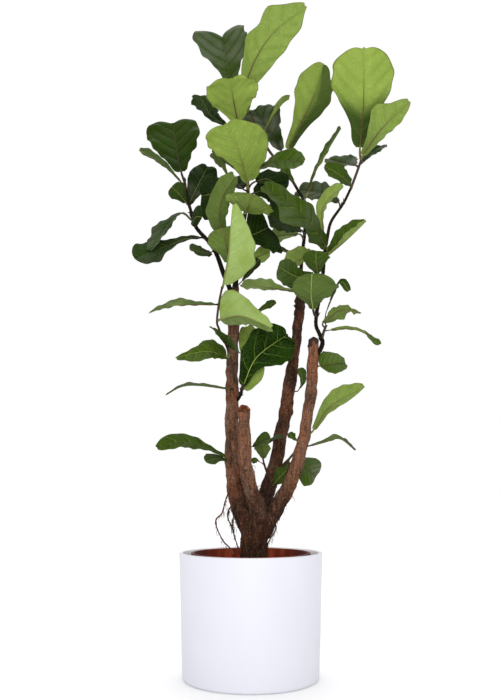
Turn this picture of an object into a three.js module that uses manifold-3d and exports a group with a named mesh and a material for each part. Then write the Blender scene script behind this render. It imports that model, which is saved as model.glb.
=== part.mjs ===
// A fiddle leaf fig: a pruned trunk of four stems with leafy shoots, standing in the soil of a
// plastic nursery pot inside a smooth white planter. Millimetres, +Z up, +X to the viewer's right,
// +Y away from the viewer. The origin is the middle of the planter's underside.
import * as THREE from 'three';
import Module from 'manifold-3d';
import { mergeVertices } from 'three/addons/utils/BufferGeometryUtils.js';

const wasm = await Module();
wasm.setup();
const { Vector3 } = THREE;

// ---- Driving dimensions, mm ----
const PLANTER = { rim: 180, foot: 168, height: 302, wall: 9, floor: 10, lip: 3, bevel: 6, sides: 40 };
const LINER = { rim: 150, mouth: 145, foot: 116, height: 290, wall: 2.2, floor: 3, curl: 11, sides: 32 };
const SOIL_TOP = 264;
const SOIL_RELIEF = 3;
const SEAT_GAP = 0.3;
const STEM_GAP = 0.4;
const BLADE_THICKNESS = 1.2;
const BARK_RELIEF = 0.045;
const THICK_STEM = 9;                                  // radius from which a stem counts as trunk wood
const STEM_SIDES = 9;
const TWIG_SIDES = 4;
const BLADE = { rowLength: 26, fewestRows: 3, mostRows: 7, halfColumns: 2, tip: 0.98 };
const PETIOLE = { thinnest: 1.1, thickest: 2.9, least: 0.7, perWidth: 0.019, flare: 1.3, taper: 0.2 };

// ---- The eye from which places on the plant were read, as [across, down] of a 500 x 700 view ----
const EYE = { back: 2100, height: 476, tilt: 9.2 * Math.PI / 180, focal: 812.7, across: 250.8, down: 350 };

// The point at depth y, behind the planter's axis, that is seen at (across, down).
function place(across, down, y) {
  const right = (across - EYE.across) / EYE.focal;
  const up = (EYE.down - down) / EYE.focal;
  const cos = Math.cos(EYE.tilt);
  const sin = Math.sin(EYE.tilt);
  const reach = (y + EYE.back) / (cos - up * sin);
  return new Vector3(reach * right, y, EYE.height + reach * (sin + up * cos));
}

// ---- Stems: a name, then points of across,down,depth,radius; node= sets a node other than wood ----
const STEM_TABLE = `
trunk
  254,608,0,20 254,590,0,27 254,572,0,31 254,560,0,32 254,550,0,33 254.5,537,0,34 256,524,0,37
  258,514,0,30
left_stem
  252,534,4,24 243.5,517,12,24 236.3,494,20,22 232.8,465,27,19.5 232,440,33,18.5 232,411,39,17.5
  232,380,45,16.5 232.5,350,48,15.5 233.5,326,52,14.5 234.5,300,55,13 235.5,284,58,10
front_stem
  260,520,-22,22 255.3,503,-36,20 250.3,487,-46,17.5 245.7,465,-52,16.3 244.3,440,-56,16
  244.3,407,-60,14
middle_stem
  258,528,10,24 264,503,28,22.5 270.5,480,46,19 276.7,460,60,18 281,435,72,17 285,417,82,17
  287.5,399,88,17 290.3,381,95,17 293,363,102,15.5 295.8,344.5,108,14 298,326,112,14
  299.6,314,116,15 300,297,120,13
right_stem
  262,533,-5,23 270,519,-20,20 279.5,503,-32,19 290.5,482,-42,17.5 298,460,-51,17 304,438,-58,15
  307.3,417,-63,14 310.5,395,-68,14 311.5,384,-70,14 312.8,365,-74,13.5 313.7,339,-78,13
left_leader
  235.5,292,56,6.9 237,265,36,6 240,240,14,5.6 245,215,-6,5.2 248,193,-20,4.7 246,165,-34,4.3
left_shoot
  246.3,168,-32,4.4 246,165,-34,4.4 242,140,-45,4.4 240,124,-50,4 node=left_tip
left_branch
  234.5,302,55,6.9 228,284,58,6.5 224,275,62,6.5 216.5,254,70,6 209,242,76,5.6 196,227,84,5.2
  190.5,209.7,88,4.3 186,190,90,3.9
branch_shoot
  186.4,192,90,4 186,190,90,4 184.5,181,91,4 node=branch_tip
hanging_twig
  235,390,50,4 233.5,374,20,3.5 228,350,-2,3.2 219,329,-24,3 217,321,-30,3 219,303,-44,3
  222,288,-52,2.8 node=hanging_spray
inner_twig
  236,402,44,4.5 240,396,22,4 242,389,10,3.5
middle_leader
  300.5,300,120,6.9 301,273,122,5.2 302,255,122,5.2 304.5,235,124,4.7 305.3,211,126,4.7 304.3,201,128,4.7
  299.5,193,130,4.3 292,180,134,4
middle_shoot
  293.5,182.5,133.6,4.1 292,180,134,4.1 283,168,138,4.1 270,152,142,4 262,138,145,4 254,122,148,3.5
  250.5,114,149,2.5 node=middle_tip
right_leader
  313,360,-72,6 320,350,-66,6 322.5,342,-64,5.6 319.5,334,-62,5.2 316,325,-60,4.7 317,311,-58,4.7
  321,290,-54,4.7 323.5,268,-48,4.7 324,256,-44,4.3 327,240,-38,4.1 331,222,-32,3.9 343,204,-24,3.6
  351,188,-18,3.4
right_shoot
  349.8,190.5,-18.5,3.5 351,188,-18,3.5 357,172,-14,3.5 361.5,159,-12,3.2 node=right_tip
right_twig
  321.5,340,-63,4 324,331,-72,3.4 326.5,325,-80,3 node=right_spray
low_twig
  272,484,30,3.5 266.7,471.6,2,3 263.5,462,-10,2.6 node=low_spray
back_twig
  279,470,58,4 284,464,50,3.6 289,459,44,3.2 294,453,42,3 node=back_spray
root_a
  230,490,22,3 226,499,10,3 222,513,0,3 216.3,519,-5,3 216.3,526,-8,2.8 219.5,534,-8,2.6
  224,542,-5,2.6 230,548,-3,2.4 235,558,0,2.3 238,572,2,2.2
root_b
  233,503,18,3 228,512,8,3 228.5,520,4,2.8 232.5,528,2,2.6 235,538,0,2.6 238,548,-2,2.6
  241,560,-2,2.5 243,572,0,2.2
root_c
  236,512,14,2.4 232.5,521,4,2.2 232.8,530,2,2
root_d
  273,519,-12,3 276,526,-14,2.8 274,533,-14,2.6 269,541,-12,2.4 267,549,-10,2.4 266,560,-8,2.2
  266,572,-6,2
`;

// ---- Leaves: a name, the stem, across,down where the petiole leaves it, then the midrib's points
// as across,down,depth behind the stem. width in mm; roll, twist, fold and curl in degrees; wave
// is the height of the edge's waves in mm; shape goes from 0, a heart, to 1, a long fiddle; low moves
// the widest part towards the base; point narrows the tip; lobe lifts the edge on both sides of it;
// one and other make the two halves wider or narrower at even steps from base to tip. ----
const LEAF_TABLE = `
leaf_01 left_shoot 240,128 237,108,10 229,72,60 222,36.5,110 width=164 fold=14 wave=8 shape=1
  node=left_tip low=-0.17 one=1/1/1/0.95/0.82/0.7 other=0.75/0.8/0.85/1/1.02/1.12 lobe=0.22
leaf_02 left_shoot 240.5,127 243,114,-8 248,77,-65 270,36.5,-120 306,5.5,-165 width=118 roll=180 fold=-4
  curl=-15 wave=5 shape=0.9 node=left_tip point=0.3 one=0.8/0.8/0.8/0.95/1/1.08/0.82/1.15/0.84/0.7/0.55
  other=1.4/1.4/1.4/1.5/1.3/1.1/0.98/0.94/0.84/0.4/0.2 low=0
leaf_03 left_shoot 240.5,129 237.5,120,-22 233,98,-95 230,78,-165 width=125 roll=180 fold=5 wave=6
  shape=0.2 node=left_tip low=0.08 one=1.3/1.2/1.1/1.05/1/0.95 other=1.3/1.2/1.1/1.1/1/1
leaf_04 left_leader 248.5,193 247,181,-20 239,153,-95 226,122.5,-165 width=160 roll=180 fold=-5 wave=4
  shape=0 one=0.6/0.55/0.53/0.54/0.57/0.66/0.76/0.82/1/1.2/1.1
  other=1.4/1.4/1.38/1.33/1.25/1.14/1.05/0.88/0.72/0.55/0.5
leaf_05 left_shoot 241,131 227,126,0 211,114.5,-14 200,95.5,-17 width=112 roll=62 fold=5 wave=5
  shape=0.5 node=left_tip
leaf_06 middle_shoot 261,137 265,130,-11 275,113,-35 283,103,-42 289,99,-31 width=52 roll=102 twist=20
  fold=20 wave=3 shape=0.8 node=middle_tip
leaf_07 middle_shoot 278,161 281,150,10 269,130,50 254,109,85 width=110 roll=15 fold=15 wave=9
  node=middle_tip one=1/1.1/0.85/1.15/0.9/1
leaf_08 middle_shoot 282,166 288,149,-14 301,123,-42 315,93,-63 323,63,-56 width=126 roll=165 fold=15
  wave=5 shape=0.8 node=middle_tip one=1.1/1.1/1.05/0.8/0.3 other=1.1/1.15/1.05/0.8/0.7
leaf_09 right_shoot 361.5,160 360,147,-15 363.5,104,-75 364,47,-100 width=168 roll=180 wave=6 shape=0.6
  node=right_tip other=1/1/1/0.95/0.93/0.93 one=1.15/1.15/1.1/1/1
leaf_10 right_shoot 361.5,161 363,155,-22 382,128,-75 409,100.5,-110 width=100 roll=165 fold=10 wave=5
  shape=0.7 node=right_tip point=0.3 one=1/1/1.1/1.2/1.1/1.3/1.15/0.75/0.6/0.6/0.5
  other=1/1/1.05/0.95/0.75/0.68/0.64/0.62/0.58/0.55/0.5
leaf_11 right_shoot 360,164 363,162,7 371,154,28 381,145.5,42 width=80 roll=60 fold=10 wave=3 shape=0.8
  node=right_tip
leaf_12 right_shoot 358.5,168 355,165,7 343,163.5,76 328,158.5,140 width=95 roll=58 fold=10 wave=5
  shape=0.4 node=right_tip point=0.5 low=0.15
leaf_13 right_leader 350,190 351,184,-20 340,175,-42 324.5,166,-53 width=70 roll=48 fold=10 wave=3
  shape=0.2 point=0.4 one=1.8/1.5/1/1/1 other=1.8/1.5/1/1/1
leaf_14 middle_leader 305.5,200 308,192,-45 315.5,171,-72 328.5,148.5,-88 341,128,-98 width=70 roll=108
  twist=20 fold=10 shape=0.8 one=1/0.8/0.8/0.8/1/1 other=1.2/1.2/1/0.6/0.3/0.2
leaf_15 right_leader 340.5,208 338,202,22 322,193,122 298,190,200 fold=10 width=72 roll=30
leaf_16 right_leader 325.8,246 323.5,234,-14 321.5,212,-42 329,197,-56 343,185.5,-63 width=76 roll=120
  fold=10 shape=0.9 point=0.4
leaf_17 right_leader 324,262 328,255,-11 347,239,-42 366,221,-56 width=84 roll=70 fold=40 shape=0.4
  point=0.5 other=2/1.7/1.2/1/1
leaf_18 right_leader 324,256 326,246.5,-40 311.5,224,-84 291,203,-112 263,185,-112 width=58 roll=45
  wave=5 shape=0.5 one=3/2.6/1.7/1/1/1 other=3.2/4/3.2/1.7/1.1/1
leaf_19 middle_leader 304.5,236 301,230,-28 285,221,-70 267,213,-98 width=112 roll=48 fold=10 wave=5
  one=0.8/0.8/0.8/0.8
leaf_20 middle_leader 303.5,242 298,234,-14 284,235,-28 270,238,-42 width=84 roll=130 fold=10 wave=3
leaf_21 middle_leader 302,254 299,253,-21 286,252,-31 268,244,-39 width=62 roll=80 twist=20 fold=10
  shape=0.6
leaf_22 right_leader 323.6,262 317,254,8 301,259,-21 284,266,-39 width=92 roll=128 fold=10
leaf_23 right_leader 321,288 314,275,-60 298,277,-92 278,266.5,-120 width=70 roll=20 fold=6
  other=0.7/0.85/1.05/1.15/1.1 one=1/0.9/0.9/0.9
leaf_24 right_leader 316,318 313,309,-40 311,293,-105 312,273,-160 width=112 roll=180 fold=-5 wave=5
  shape=0.5 point=0.2 one=0.6/0.7/0.85/0.9/0.85/0.8 other=0.85/1/1.15/1.25/1.25/1.1
leaf_25 right_leader 321.5,284 318,274,-35 316,262,-49 316,251,-56 width=72 roll=20 fold=5 wave=2
leaf_30 branch_shoot 184.6,182 181,171,15 176,147,60 172.5,122.5,105 width=154 fold=6 wave=5 shape=0
  node=branch_tip other=1/1/1/1.05/1.1/1.1 lobe=0.06
leaf_31 branch_shoot 185,185 181,182,-7 162,163.5,-42 139.2,149.8,-63 width=58 roll=112 fold=10 wave=2
  shape=0.7 node=branch_tip
leaf_32 left_branch 189,206 186,203,-3 179,194,-12 171.5,187,-22 width=60 roll=25 fold=10 wave=3
  shape=0.2
leaf_33 left_branch 190.5,209 189,204,8 197,187,46 208,166,82 width=85 roll=15 fold=10
  other=1/1/0.95/0.85/0.7
leaf_34 left_leader 247,203 231,193,54 217,193,86 201,196,112 width=130 roll=10 fold=10 shape=0
  one=1/0.95/0.8/0.65/0.6 other=1/1.1/1.15/1.2/1.2
leaf_35 left_branch 196,227 192,221,-7 181,213,-21 165,229,-70 151,250,-101 width=62 roll=60 fold=10
  shape=0.5 point=0.3 one=1.3/1.4/1.4/1.3 other=1/0.8/0.8/1
leaf_36 left_branch 196,227 192,222,-24 196,217,-46 202,217,-61 width=62 roll=40 fold=10 wave=3
leaf_37 left_branch 208,241 200,237.5,-8 184,239,-35 161,248,-63 134.5,258.5,-84 width=92 roll=50
  fold=10 wave=5 shape=0.9 point=0 low=-0.15 other=1.1/1.1/1.15/1.25/1.3
leaf_38 left_branch 212,247 211,252,-14 203,252,-35 189.5,248.5,-56 width=54 roll=50 fold=10
  other=1.6/1.5/1/0.6/0.5 one=0.8/0.8
leaf_40 left_leader 247,184 229,179,-6 221,165,-17 210,155,-25 width=52 roll=112 fold=10 wave=3
  shape=0.5
leaf_41 left_leader 246.5,171 236,170,17 224,160,34 214,150,42 width=40 roll=60 fold=10 wave=3 shape=0.5
leaf_42 left_leader 241,236 228,238,-31 219,220,-49 222,197,-73 235,175,-70 width=58 roll=150 fold=10
  shape=0.2 one=1.5/1.4/1.2/1.1/1 other=1.2/1.2/1.1/1/1 low=0.15
leaf_43 left_leader 237,262 229,263,-54 227,248,-74 222,228,-86 width=102 roll=165 wave=3 shape=0.1
leaf_44 hanging_twig 222,288.5 223.5,284,-8 229,255,-60 231,230,-92 233,204,-108 wave=3
  node=hanging_spray roll=-135 fold=45 low=0.2 shape=0.2 point=0.7 width=162
leaf_45 left_leader 245,214 246.5,212,-26 249,204,-64 252,193.5,-100 width=146 roll=180 fold=-10 wave=5
  shape=0 point=0.4
leaf_46 left_leader 247.8,191 243,189,14 238,184,35 233,178,56 width=80 roll=30 fold=10 wave=3 shape=0.1
leaf_47 left_leader 248,190 256,181.5,11 268,179,25 286,190,39 width=88 roll=45 fold=10 wave=5 shape=0.2
leaf_48 left_leader 247,172 260,168,-28 280,160,-70 304,162,-105 width=75 roll=40 point=0.4
leaf_49 middle_leader 297,188 294,182,-7 288,175,-21 280.5,169,-31 width=48 roll=55 fold=10 wave=3
leaf_50 left_leader 247.5,198 254,193,17 264,191,39 275,196,62 width=90 roll=35 fold=10 wave=3 shape=0.1
leaf_51 left_leader 242,230 247,237,5 257,233,25 269,227,50 width=165 roll=10 fold=10 wave=5 shape=0
leaf_52 left_leader 239,257 247,259,21 257,257,39 270,252,53 width=52 roll=150 fold=10 wave=2 shape=0.1
leaf_53 left_stem 236,286 242,281,-31 250,272,-39 259,259,-46 width=40 roll=50 fold=10 wave=3
leaf_54 middle_stem 299.8,300 294,291.5,-25 271,287.5,-56 241.5,284,-91 width=80 roll=118 fold=10
  shape=0.9 point=0.2
leaf_55 hanging_twig 217,321 220.5,319.5,-8 243,316,-60 272,327.5,-85 width=145 roll=150 fold=25
  shape=0.2 node=hanging_spray point=0 low=0 one=3/2.8/1.9/0.85/0.4/0.3/0.2/0.2
  other=1.5/1.2/0.8/0.5/0.4/0.5/0.6
leaf_56 left_stem 234,321 253,316,-11 264,308,-17 276,302,-22 width=32 roll=55 fold=10 wave=2 shape=0.5
leaf_57 inner_twig 242,390 243.5,385,-5 257,357,0 288,334,12 width=126 fold=6 wave=5 shape=0.1
  other=1/1/1/0.95/0.85/0.7 one=0.5/0.6/0.9/1/1
leaf_58 hanging_twig 219,304 214,304.5,-7 190,304.3,-42 168,306,-70 149,312.8,-91 width=72 roll=110
  fold=10 shape=0.6 node=hanging_spray point=0.6
leaf_59 hanging_twig 226,346 227,345,-10 228,340,-80 229,336,-150 width=105 fold=10 wave=3
  node=hanging_spray roll=30
leaf_60 hanging_twig 227,349 227,357,-11 207,351,-42 176,357.5,-77 roll=48 shape=0.1 node=hanging_spray
  point=0.3 low=0 width=90 one=3.6/3.1/1.4/0.55/0.3/0.2/0.15 other=1.6/1.4/1/0.8/0.7
leaf_61 left_stem 232,389 230,389,-28 200,385.3,-56 182,386.3,-70 166,394.8,-84 width=66 roll=98 wave=3
  shape=0.6 point=0.6
leaf_62 left_stem 231,461 226,457,-31 205,447,-63 180,441.5,-91 157,448,-119 width=72 roll=58 wave=3
  shape=0.5 point=0.4
leaf_63 left_stem 231,466 228,461,-25 217,458.5,-39 206,462,-53 width=46 roll=55 fold=10 wave=2
leaf_70 right_twig 326,326 327,310,-6 334,294,-17 341,281.5,-28 349,291,-36 width=26 roll=80 twist=30
  fold=10 wave=2 shape=0.3 node=right_spray one=1.8/2.2/1.8/0.8/0.9/1 other=1.8/2.2/1.8/0.8/0.9/1
leaf_71 right_twig 325.5,328 323,323,-4 340,310,-35 361,312.5,-63 width=62 roll=118 fold=5 wave=5
  shape=0.4 node=right_spray point=0.7 other=3/2.6/1.9/1.2/1
leaf_72 right_twig 324.5,331 331,330,-8 347,328.3,-31 363,332.3,-48 379,345,-63 width=46 roll=100
  twist=60 fold=10 wave=3 shape=0.6 node=right_spray
leaf_73 right_stem 313,366 320,366,6 333,364,25 345.5,363,39 width=80 roll=35 fold=14 wave=2 shape=0
  low=0.3 point=0.3
leaf_74 right_stem 304.5,436 314,429.5,-11 330,406,-42 364,385.5,-77 width=80 roll=138 wave=2 shape=0.7
  point=0.4 other=1.1/1/0.8/0.6/0.5 one=1/1/1/0.95/0.85
leaf_75 right_stem 303,446 311,445.5,-14 326,441.5,-35 340,438.5,-49 355,450,-70 width=62 roll=105
  fold=10 wave=2 shape=0.6 point=0.5
leaf_76 back_twig 293.5,454 296,458,7 305,468,28 316,477,42 width=82 roll=20 wave=2 shape=0
  node=back_spray
leaf_77 right_stem 303,442 297,441,4 292.5,437.5,8 288.5,433,11 width=30 roll=50 fold=10 wave=2
leaf_78 middle_stem 270,482 273,485,-31 279,478,-45 286,471,-53 width=48 roll=30 fold=10 wave=3
  shape=0.2
leaf_79 front_stem 244.5,447 252,446.5,3 260,442,-8 270,436,-14 width=42 roll=40 fold=10 wave=2
  shape=0.4
leaf_80 low_twig 264,464 263.4,459,-6 262.8,453,-20 262,444,-36 width=42 roll=170 wave=2 shape=0.1
  node=low_spray
leaf_81 low_twig 264,464 266.5,445,8 274,439,14 283,436,20 width=24 roll=60 fold=10 wave=2 shape=0.4
  node=low_spray
leaf_82 low_twig 264.5,466 260,462,-6 256,460,-11 252,462.5,-14 width=22 roll=50 fold=10 wave=2
  shape=0.4 node=low_spray
leaf_83 middle_stem 289,389 299,389.5,-6 302.5,381,-17 299.5,368,-22 width=46 roll=60 fold=10 wave=2
  shape=0.4
leaf_84 back_twig 290,458 289,461,7 287.5,466,13 286,473,17 width=42 roll=20 wave=2 shape=0.1
  node=back_spray
leaf_64 inner_twig 242,392 243,389,6 252,370,22 250,345,34 246,326,44 width=60 roll=172 fold=5 wave=3
  shape=0.3 other=3/2.7/1.5/1/1/1 one=1.5/1.2/1/1/1
`;

const LEAF_DEFAULTS = {
  width: 60, roll: 0, twist: 0, fold: 8, curl: 0, wave: 4, shape: 0.3, low: 0, point: 0, lobe: 0,
  one: '1/1', other: '1/1',
};

// Splits a table into entries of words, points and options.
function readTable(text) {
  const entries = [];
  for (const token of text.trim().split(/\s+/)) {
    const last = entries.at(-1);
    if (token.includes('=')) {
      const [key, value] = token.split('=');
      last.options[key] = Number.isNaN(Number(value)) ? value : Number(value);
    } else if (token.includes(',')) {
      last.points.push(token.split(',').map(Number));
    } else if (last && last.points.length === 0) {
      last.words.push(token);
    } else {
      entries.push({ words: [token], points: [], options: {} });
    }
  }
  return entries;
}

// ---- Small helpers ----
// A seeded draw from 0 to 1: the same name always gives the same row of numbers.
function seededDraw(name) {
  let seed = 0;
  [...name].forEach((letter, i) => {
    seed += letter.charCodeAt(0) * (i + 1) * 31;
  });
  return () => {
    seed = (seed * 9301 + 49297) % 233280;
    return seed / 233280;
  };
}

// A Catmull-Rom curve through rows of numbers, with so many steps between two rows.
function smoothRows(rows, steps) {
  const blend = (a, b, k) => a.map((value, i) => 2 * value - b[i] * k);
  const all = [blend(rows[0], rows[1], 1), ...rows, blend(rows.at(-1), rows.at(-2), 1)];
  const result = [];
  for (let i = 1; i < all.length - 2; i++) {
    const [a, b, c, d] = all.slice(i - 1, i + 3);
    for (let k = 0; k < steps; k++) {
      const t = k / steps;
      result.push(b.map((value, j) => 0.5 * (2 * value + (c[j] - a[j]) * t
        + (2 * a[j] - 5 * value + 4 * c[j] - d[j]) * t * t
        + (3 * value - a[j] - 3 * c[j] + d[j]) * t * t * t)));
    }
  }
  result.push(rows.at(-1));
  return result;
}

// The value of a rising table [x, value] at x.
function lookUp(xs, values, x) {
  const i = Math.min(Math.max(xs.findIndex((limit) => limit >= x), 1), xs.length - 1);
  const k = Math.min(Math.max((x - xs[i - 1]) / (xs[i] - xs[i - 1] || 1), 0), 1);
  return values[i - 1] + (values[i] - values[i - 1]) * k;
}

// Reads a list of values that stand at even steps from 0 to 1.
function evenly(values, share) {
  return lookUp(values.map((_, i) => i / (values.length - 1)), values, share);
}

function solidFrom(vertices, triangles) {
  const mesh = new wasm.Mesh({
    numProp: 3,
    vertProperties: new Float32Array(vertices.flatMap((v) => [v.x, v.y, v.z])),
    triVerts: new Uint32Array(triangles.flat()),
  });
  return new wasm.Manifold(mesh);
}

function geometryFrom(solid) {
  const mesh = solid.getMesh();
  const geometry = new THREE.BufferGeometry();
  geometry.setAttribute('position', new THREE.BufferAttribute(mesh.vertProperties, 3));
  geometry.setIndex(new THREE.BufferAttribute(mesh.triVerts, 1));
  return geometry;
}

function solidOf(geometry) {
  geometry.deleteAttribute('normal');
  geometry.deleteAttribute('uv');
  const merged = mergeVertices(geometry, 1e-4);
  return new wasm.Manifold(new wasm.Mesh({
    numProp: 3,
    vertProperties: new Float32Array(merged.attributes.position.array),
    triVerts: new Uint32Array(merged.index.array),
  }));
}

function largestPiece(solid) {
  return solid.decompose().sort((a, b) => b.volume() - a.volume())[0];
}

// ---- Stems ----
// A round tube through rows of [x, y, z, radius], with closed ends and an optional bark relief.
function tube(rows, sides, extra = 0, relief = () => 1) {
  const points = rows.map(([x, y, z]) => new Vector3(x, y, z));
  const vertices = [];
  const triangles = [];
  let across = new Vector3(1, 0, 0);
  points.forEach((point, i) => {
    const along = points[Math.min(i + 1, points.length - 1)].clone()
      .sub(points[Math.max(i - 1, 0)]).normalize();
    across = across.clone().addScaledVector(along, -across.dot(along)).normalize();
    const other = along.clone().cross(across);
    const centre = point.clone();
    if (i === 0) centre.addScaledVector(along, -extra);
    if (i === points.length - 1) centre.addScaledVector(along, extra);
    for (let k = 0; k < sides; k++) {
      const angle = 2 * Math.PI * k / sides;
      const radius = rows[i][3] * relief(i, k) + extra;
      vertices.push(centre.clone().addScaledVector(across, radius * Math.cos(angle))
        .addScaledVector(other, radius * Math.sin(angle)));
      const next = (k + 1) % sides;
      if (i > 0) {
        const low = (i - 1) * sides;
        const high = i * sides;
        triangles.push([low + k, low + next, high + next], [low + k, high + next, high + k]);
      }
    }
  });
  const last = (points.length - 1) * sides;
  for (let k = 1; k < sides - 1; k++) {
    triangles.push([0, k + 1, k], [last, last + k, last + k + 1]);
  }
  return solidFrom(vertices, triangles);
}

const STEMS = readTable(STEM_TABLE).map(({ words, points, options }) => {
  const rows = points.map(([across, down, depth, radius]) => {
    const point = place(across, down, depth);
    return [point.x, point.y, point.z, radius];
  });
  return { name: words[0], rows, line: smoothRows(rows, 12), ...options };
});

function stemSolid(stem, extra) {
  const thick = Math.max(...stem.rows.map((row) => row[3])) > THICK_STEM;
  const draw = seededDraw(stem.name);
  const sides = thick ? STEM_SIDES : TWIG_SIDES;
  const rows = smoothRows(stem.rows, thick ? 2 : 1);
  const bumps = rows.map(() => Array.from({ length: sides }, () => 1 + BARK_RELIEF * (2 * draw() - 1)));
  return tube(rows, sides, extra, thick ? (i, k) => bumps[i][k] : undefined);
}

// ---- Leaves ----
// Half outlines as [along, out], in lengths and in half widths.
const HEART = [[0, 0], [-0.02, 0.13], [0.03, 0.27], [0.15, 0.38], [0.30, 0.57], [0.46, 0.80],
  [0.62, 0.96], [0.77, 1.0], [0.90, 0.86], [0.99, 0.56], [1.01, 0.28], [0.97, 0]];
const FIDDLE = [[0, 0], [0, 0.10], [0.05, 0.19], [0.18, 0.24], [0.32, 0.36], [0.46, 0.62],
  [0.60, 0.88], [0.74, 1.0], [0.87, 0.90], [0.96, 0.62], [1.0, 0.30], [0.985, 0]];
const TYPICAL_HALF_WIDTH = 0.3;
const VEIN_SLANT = 0.085;
const VEIN_CURVE = 1.25;
const POINT_POWER = 1.3;
const FEWEST_WAVES = 1.6;

function halfOutline({ shape, low, point, lobe }) {
  const rows = HEART.map(([along, out], i) => {
    const outer = Math.max(2 * along - 1, 0);
    const narrowing = 1 - point * outer ** POINT_POWER;
    const shift = lobe * outer * out - low * Math.sin(Math.PI * along);
    return [along * (1 - shape) + FIDDLE[i][0] * shape + shift,
      (out * (1 - shape) + FIDDLE[i][1] * shape) * narrowing];
  });
  const curve = smoothRows(rows, 12).map(([along, out]) => [along, Math.max(out, 0)]);
  const travelled = [0];
  for (let i = 1; i < curve.length; i++) {
    travelled.push(travelled[i - 1] + Math.hypot(curve[i][0] - curve[i - 1][0],
      TYPICAL_HALF_WIDTH * (curve[i][1] - curve[i - 1][1])));
  }
  return {
    travelled: travelled.map((value) => value / travelled.at(-1)),
    along: curve.map((row) => row[0]),
    out: curve.map((row) => row[1]),
  };
}

function nearestOnStem(stem, [across, down]) {
  const cos = Math.cos(EYE.tilt);
  const sin = Math.sin(EYE.tilt);
  let best = Infinity;
  let found = null;
  for (const row of stem.line) {
    const back = row[1] + EYE.back;
    const rise = row[2] - EYE.height;
    const depth = back * cos + rise * sin;
    const u = EYE.across + EYE.focal * row[0] / depth;
    const v = EYE.down - EYE.focal * (rise * cos - back * sin) / depth;
    const distance = (u - across) ** 2 + (v - down) ** 2;
    if (distance < best) {
      best = distance;
      found = row;
    }
  }
  return found;
}

// Works out a leaf's midrib frame and gives a function from (row, side) to a point on its blade:
// row runs from 0 at the base to 1 at the tip, side from -1 to 1 across, along the side veins.
const MIDRIB_STEPS = 33;

function leafForm({ words, points, options }) {
  const form = { ...LEAF_DEFAULTS, ...options };
  const [name, stemName] = words;
  const [leaves, ...midribPlaces] = points;
  const stem = STEMS.find((item) => item.name === stemName);
  const root = nearestOnStem(stem, leaves);
  const rows = midribPlaces.map(([across, down, depth]) =>
    place(across, down, root[1] + depth).toArray());
  const dense = smoothRows(rows, 16).map((row) => new Vector3(...row));
  const travelled = [0];
  dense.slice(1).forEach((point, i) => travelled.push(travelled[i] + point.distanceTo(dense[i])));
  const length = travelled.at(-1);
  const midrib = Array.from({ length: MIDRIB_STEPS }, (_, i) => {
    const at = length * i / (MIDRIB_STEPS - 1);
    return new Vector3(...['x', 'y', 'z'].map((axis) => lookUp(travelled, dense.map((p) => p[axis]), at)));
  });
  const alongs = midrib.map((_, i) => midrib[Math.min(i + 1, MIDRIB_STEPS - 1)].clone()
    .sub(midrib[Math.max(i - 1, 0)]).normalize());
  const middle = (MIDRIB_STEPS - 1) / 2;
  const flatten = (v, along) => v.clone().addScaledVector(along, -v.dot(along)).normalize();
  const toEye = new Vector3(0, -EYE.back, EYE.height).sub(midrib[middle]).normalize();
  const facing = flatten(toEye, alongs[middle]);
  const upward = alongs[middle].clone().cross(facing);
  if (upward.z < 0) upward.negate();
  const roll = THREE.MathUtils.degToRad(form.roll);
  const normals = [];
  normals[middle] = facing.multiplyScalar(Math.cos(roll)).addScaledVector(upward, Math.sin(roll));
  for (let i = middle + 1; i < MIDRIB_STEPS; i++) normals[i] = flatten(normals[i - 1], alongs[i]);
  for (let i = middle - 1; i >= 0; i--) normals[i] = flatten(normals[i + 1], alongs[i]);
  const twist = THREE.MathUtils.degToRad(form.twist);
  normals.forEach((normal, i) => {
    normal.applyAxisAngle(alongs[i], twist * (i / (MIDRIB_STEPS - 1) - 0.5));
  });
  const outline = halfOutline(form);
  const widths = [form.other, form.one].map((text) => text.split('/').map(Number));
  const draw = seededDraw(name);
  const starts = [draw(), draw()];
  const waves = [FEWEST_WAVES + draw(), FEWEST_WAVES + draw()];
  const fold = THREE.MathUtils.degToRad(form.fold);
  const curl = THREE.MathUtils.degToRad(form.curl);

  const frameAt = (along) => {
    const place01 = Math.min(Math.max(along, 0), 1);
    const i = Math.min(Math.floor(place01 * (MIDRIB_STEPS - 1)), MIDRIB_STEPS - 2);
    const k = place01 * (MIDRIB_STEPS - 1) - i;
    const direction = alongs[i].clone().lerp(alongs[i + 1], k).normalize();
    const normal = flatten(normals[i].clone().lerp(normals[i + 1], k), direction);
    const point = midrib[i].clone().lerp(midrib[i + 1], k)
      .addScaledVector(direction, (along - place01) * length);
    return { point, direction, normal };
  };
  const pointAt = (row, side) => {
    const reach = row + VEIN_SLANT * Math.sin(Math.PI * row);
    const edgeAlong = lookUp(outline.travelled, outline.along, reach);
    const hand = side >= 0 ? 1 : 0;
    const out = lookUp(outline.travelled, outline.out, reach) * side * evenly(widths[hand], reach);
    const along = row + (edgeAlong - row) * Math.abs(side) ** VEIN_CURVE;
    const { point, direction, normal } = frameAt(along);
    const sideways = direction.clone().cross(normal);
    const bend = fold + 0.5 * curl * Math.abs(out);
    const half = form.width / 2;
    const lift = Math.abs(out) * half * Math.sin(bend)
      + form.wave * out * out * Math.sin(2 * Math.PI * (waves[hand] * along + starts[hand]));
    return point.addScaledVector(sideways, out * half * Math.cos(bend)).addScaledVector(normal, lift);
  };
  return { name, node: name, root, length, pointAt, frameAt, ...form };
}

const LEAVES = readTable(LEAF_TABLE).map(leafForm);

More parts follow.
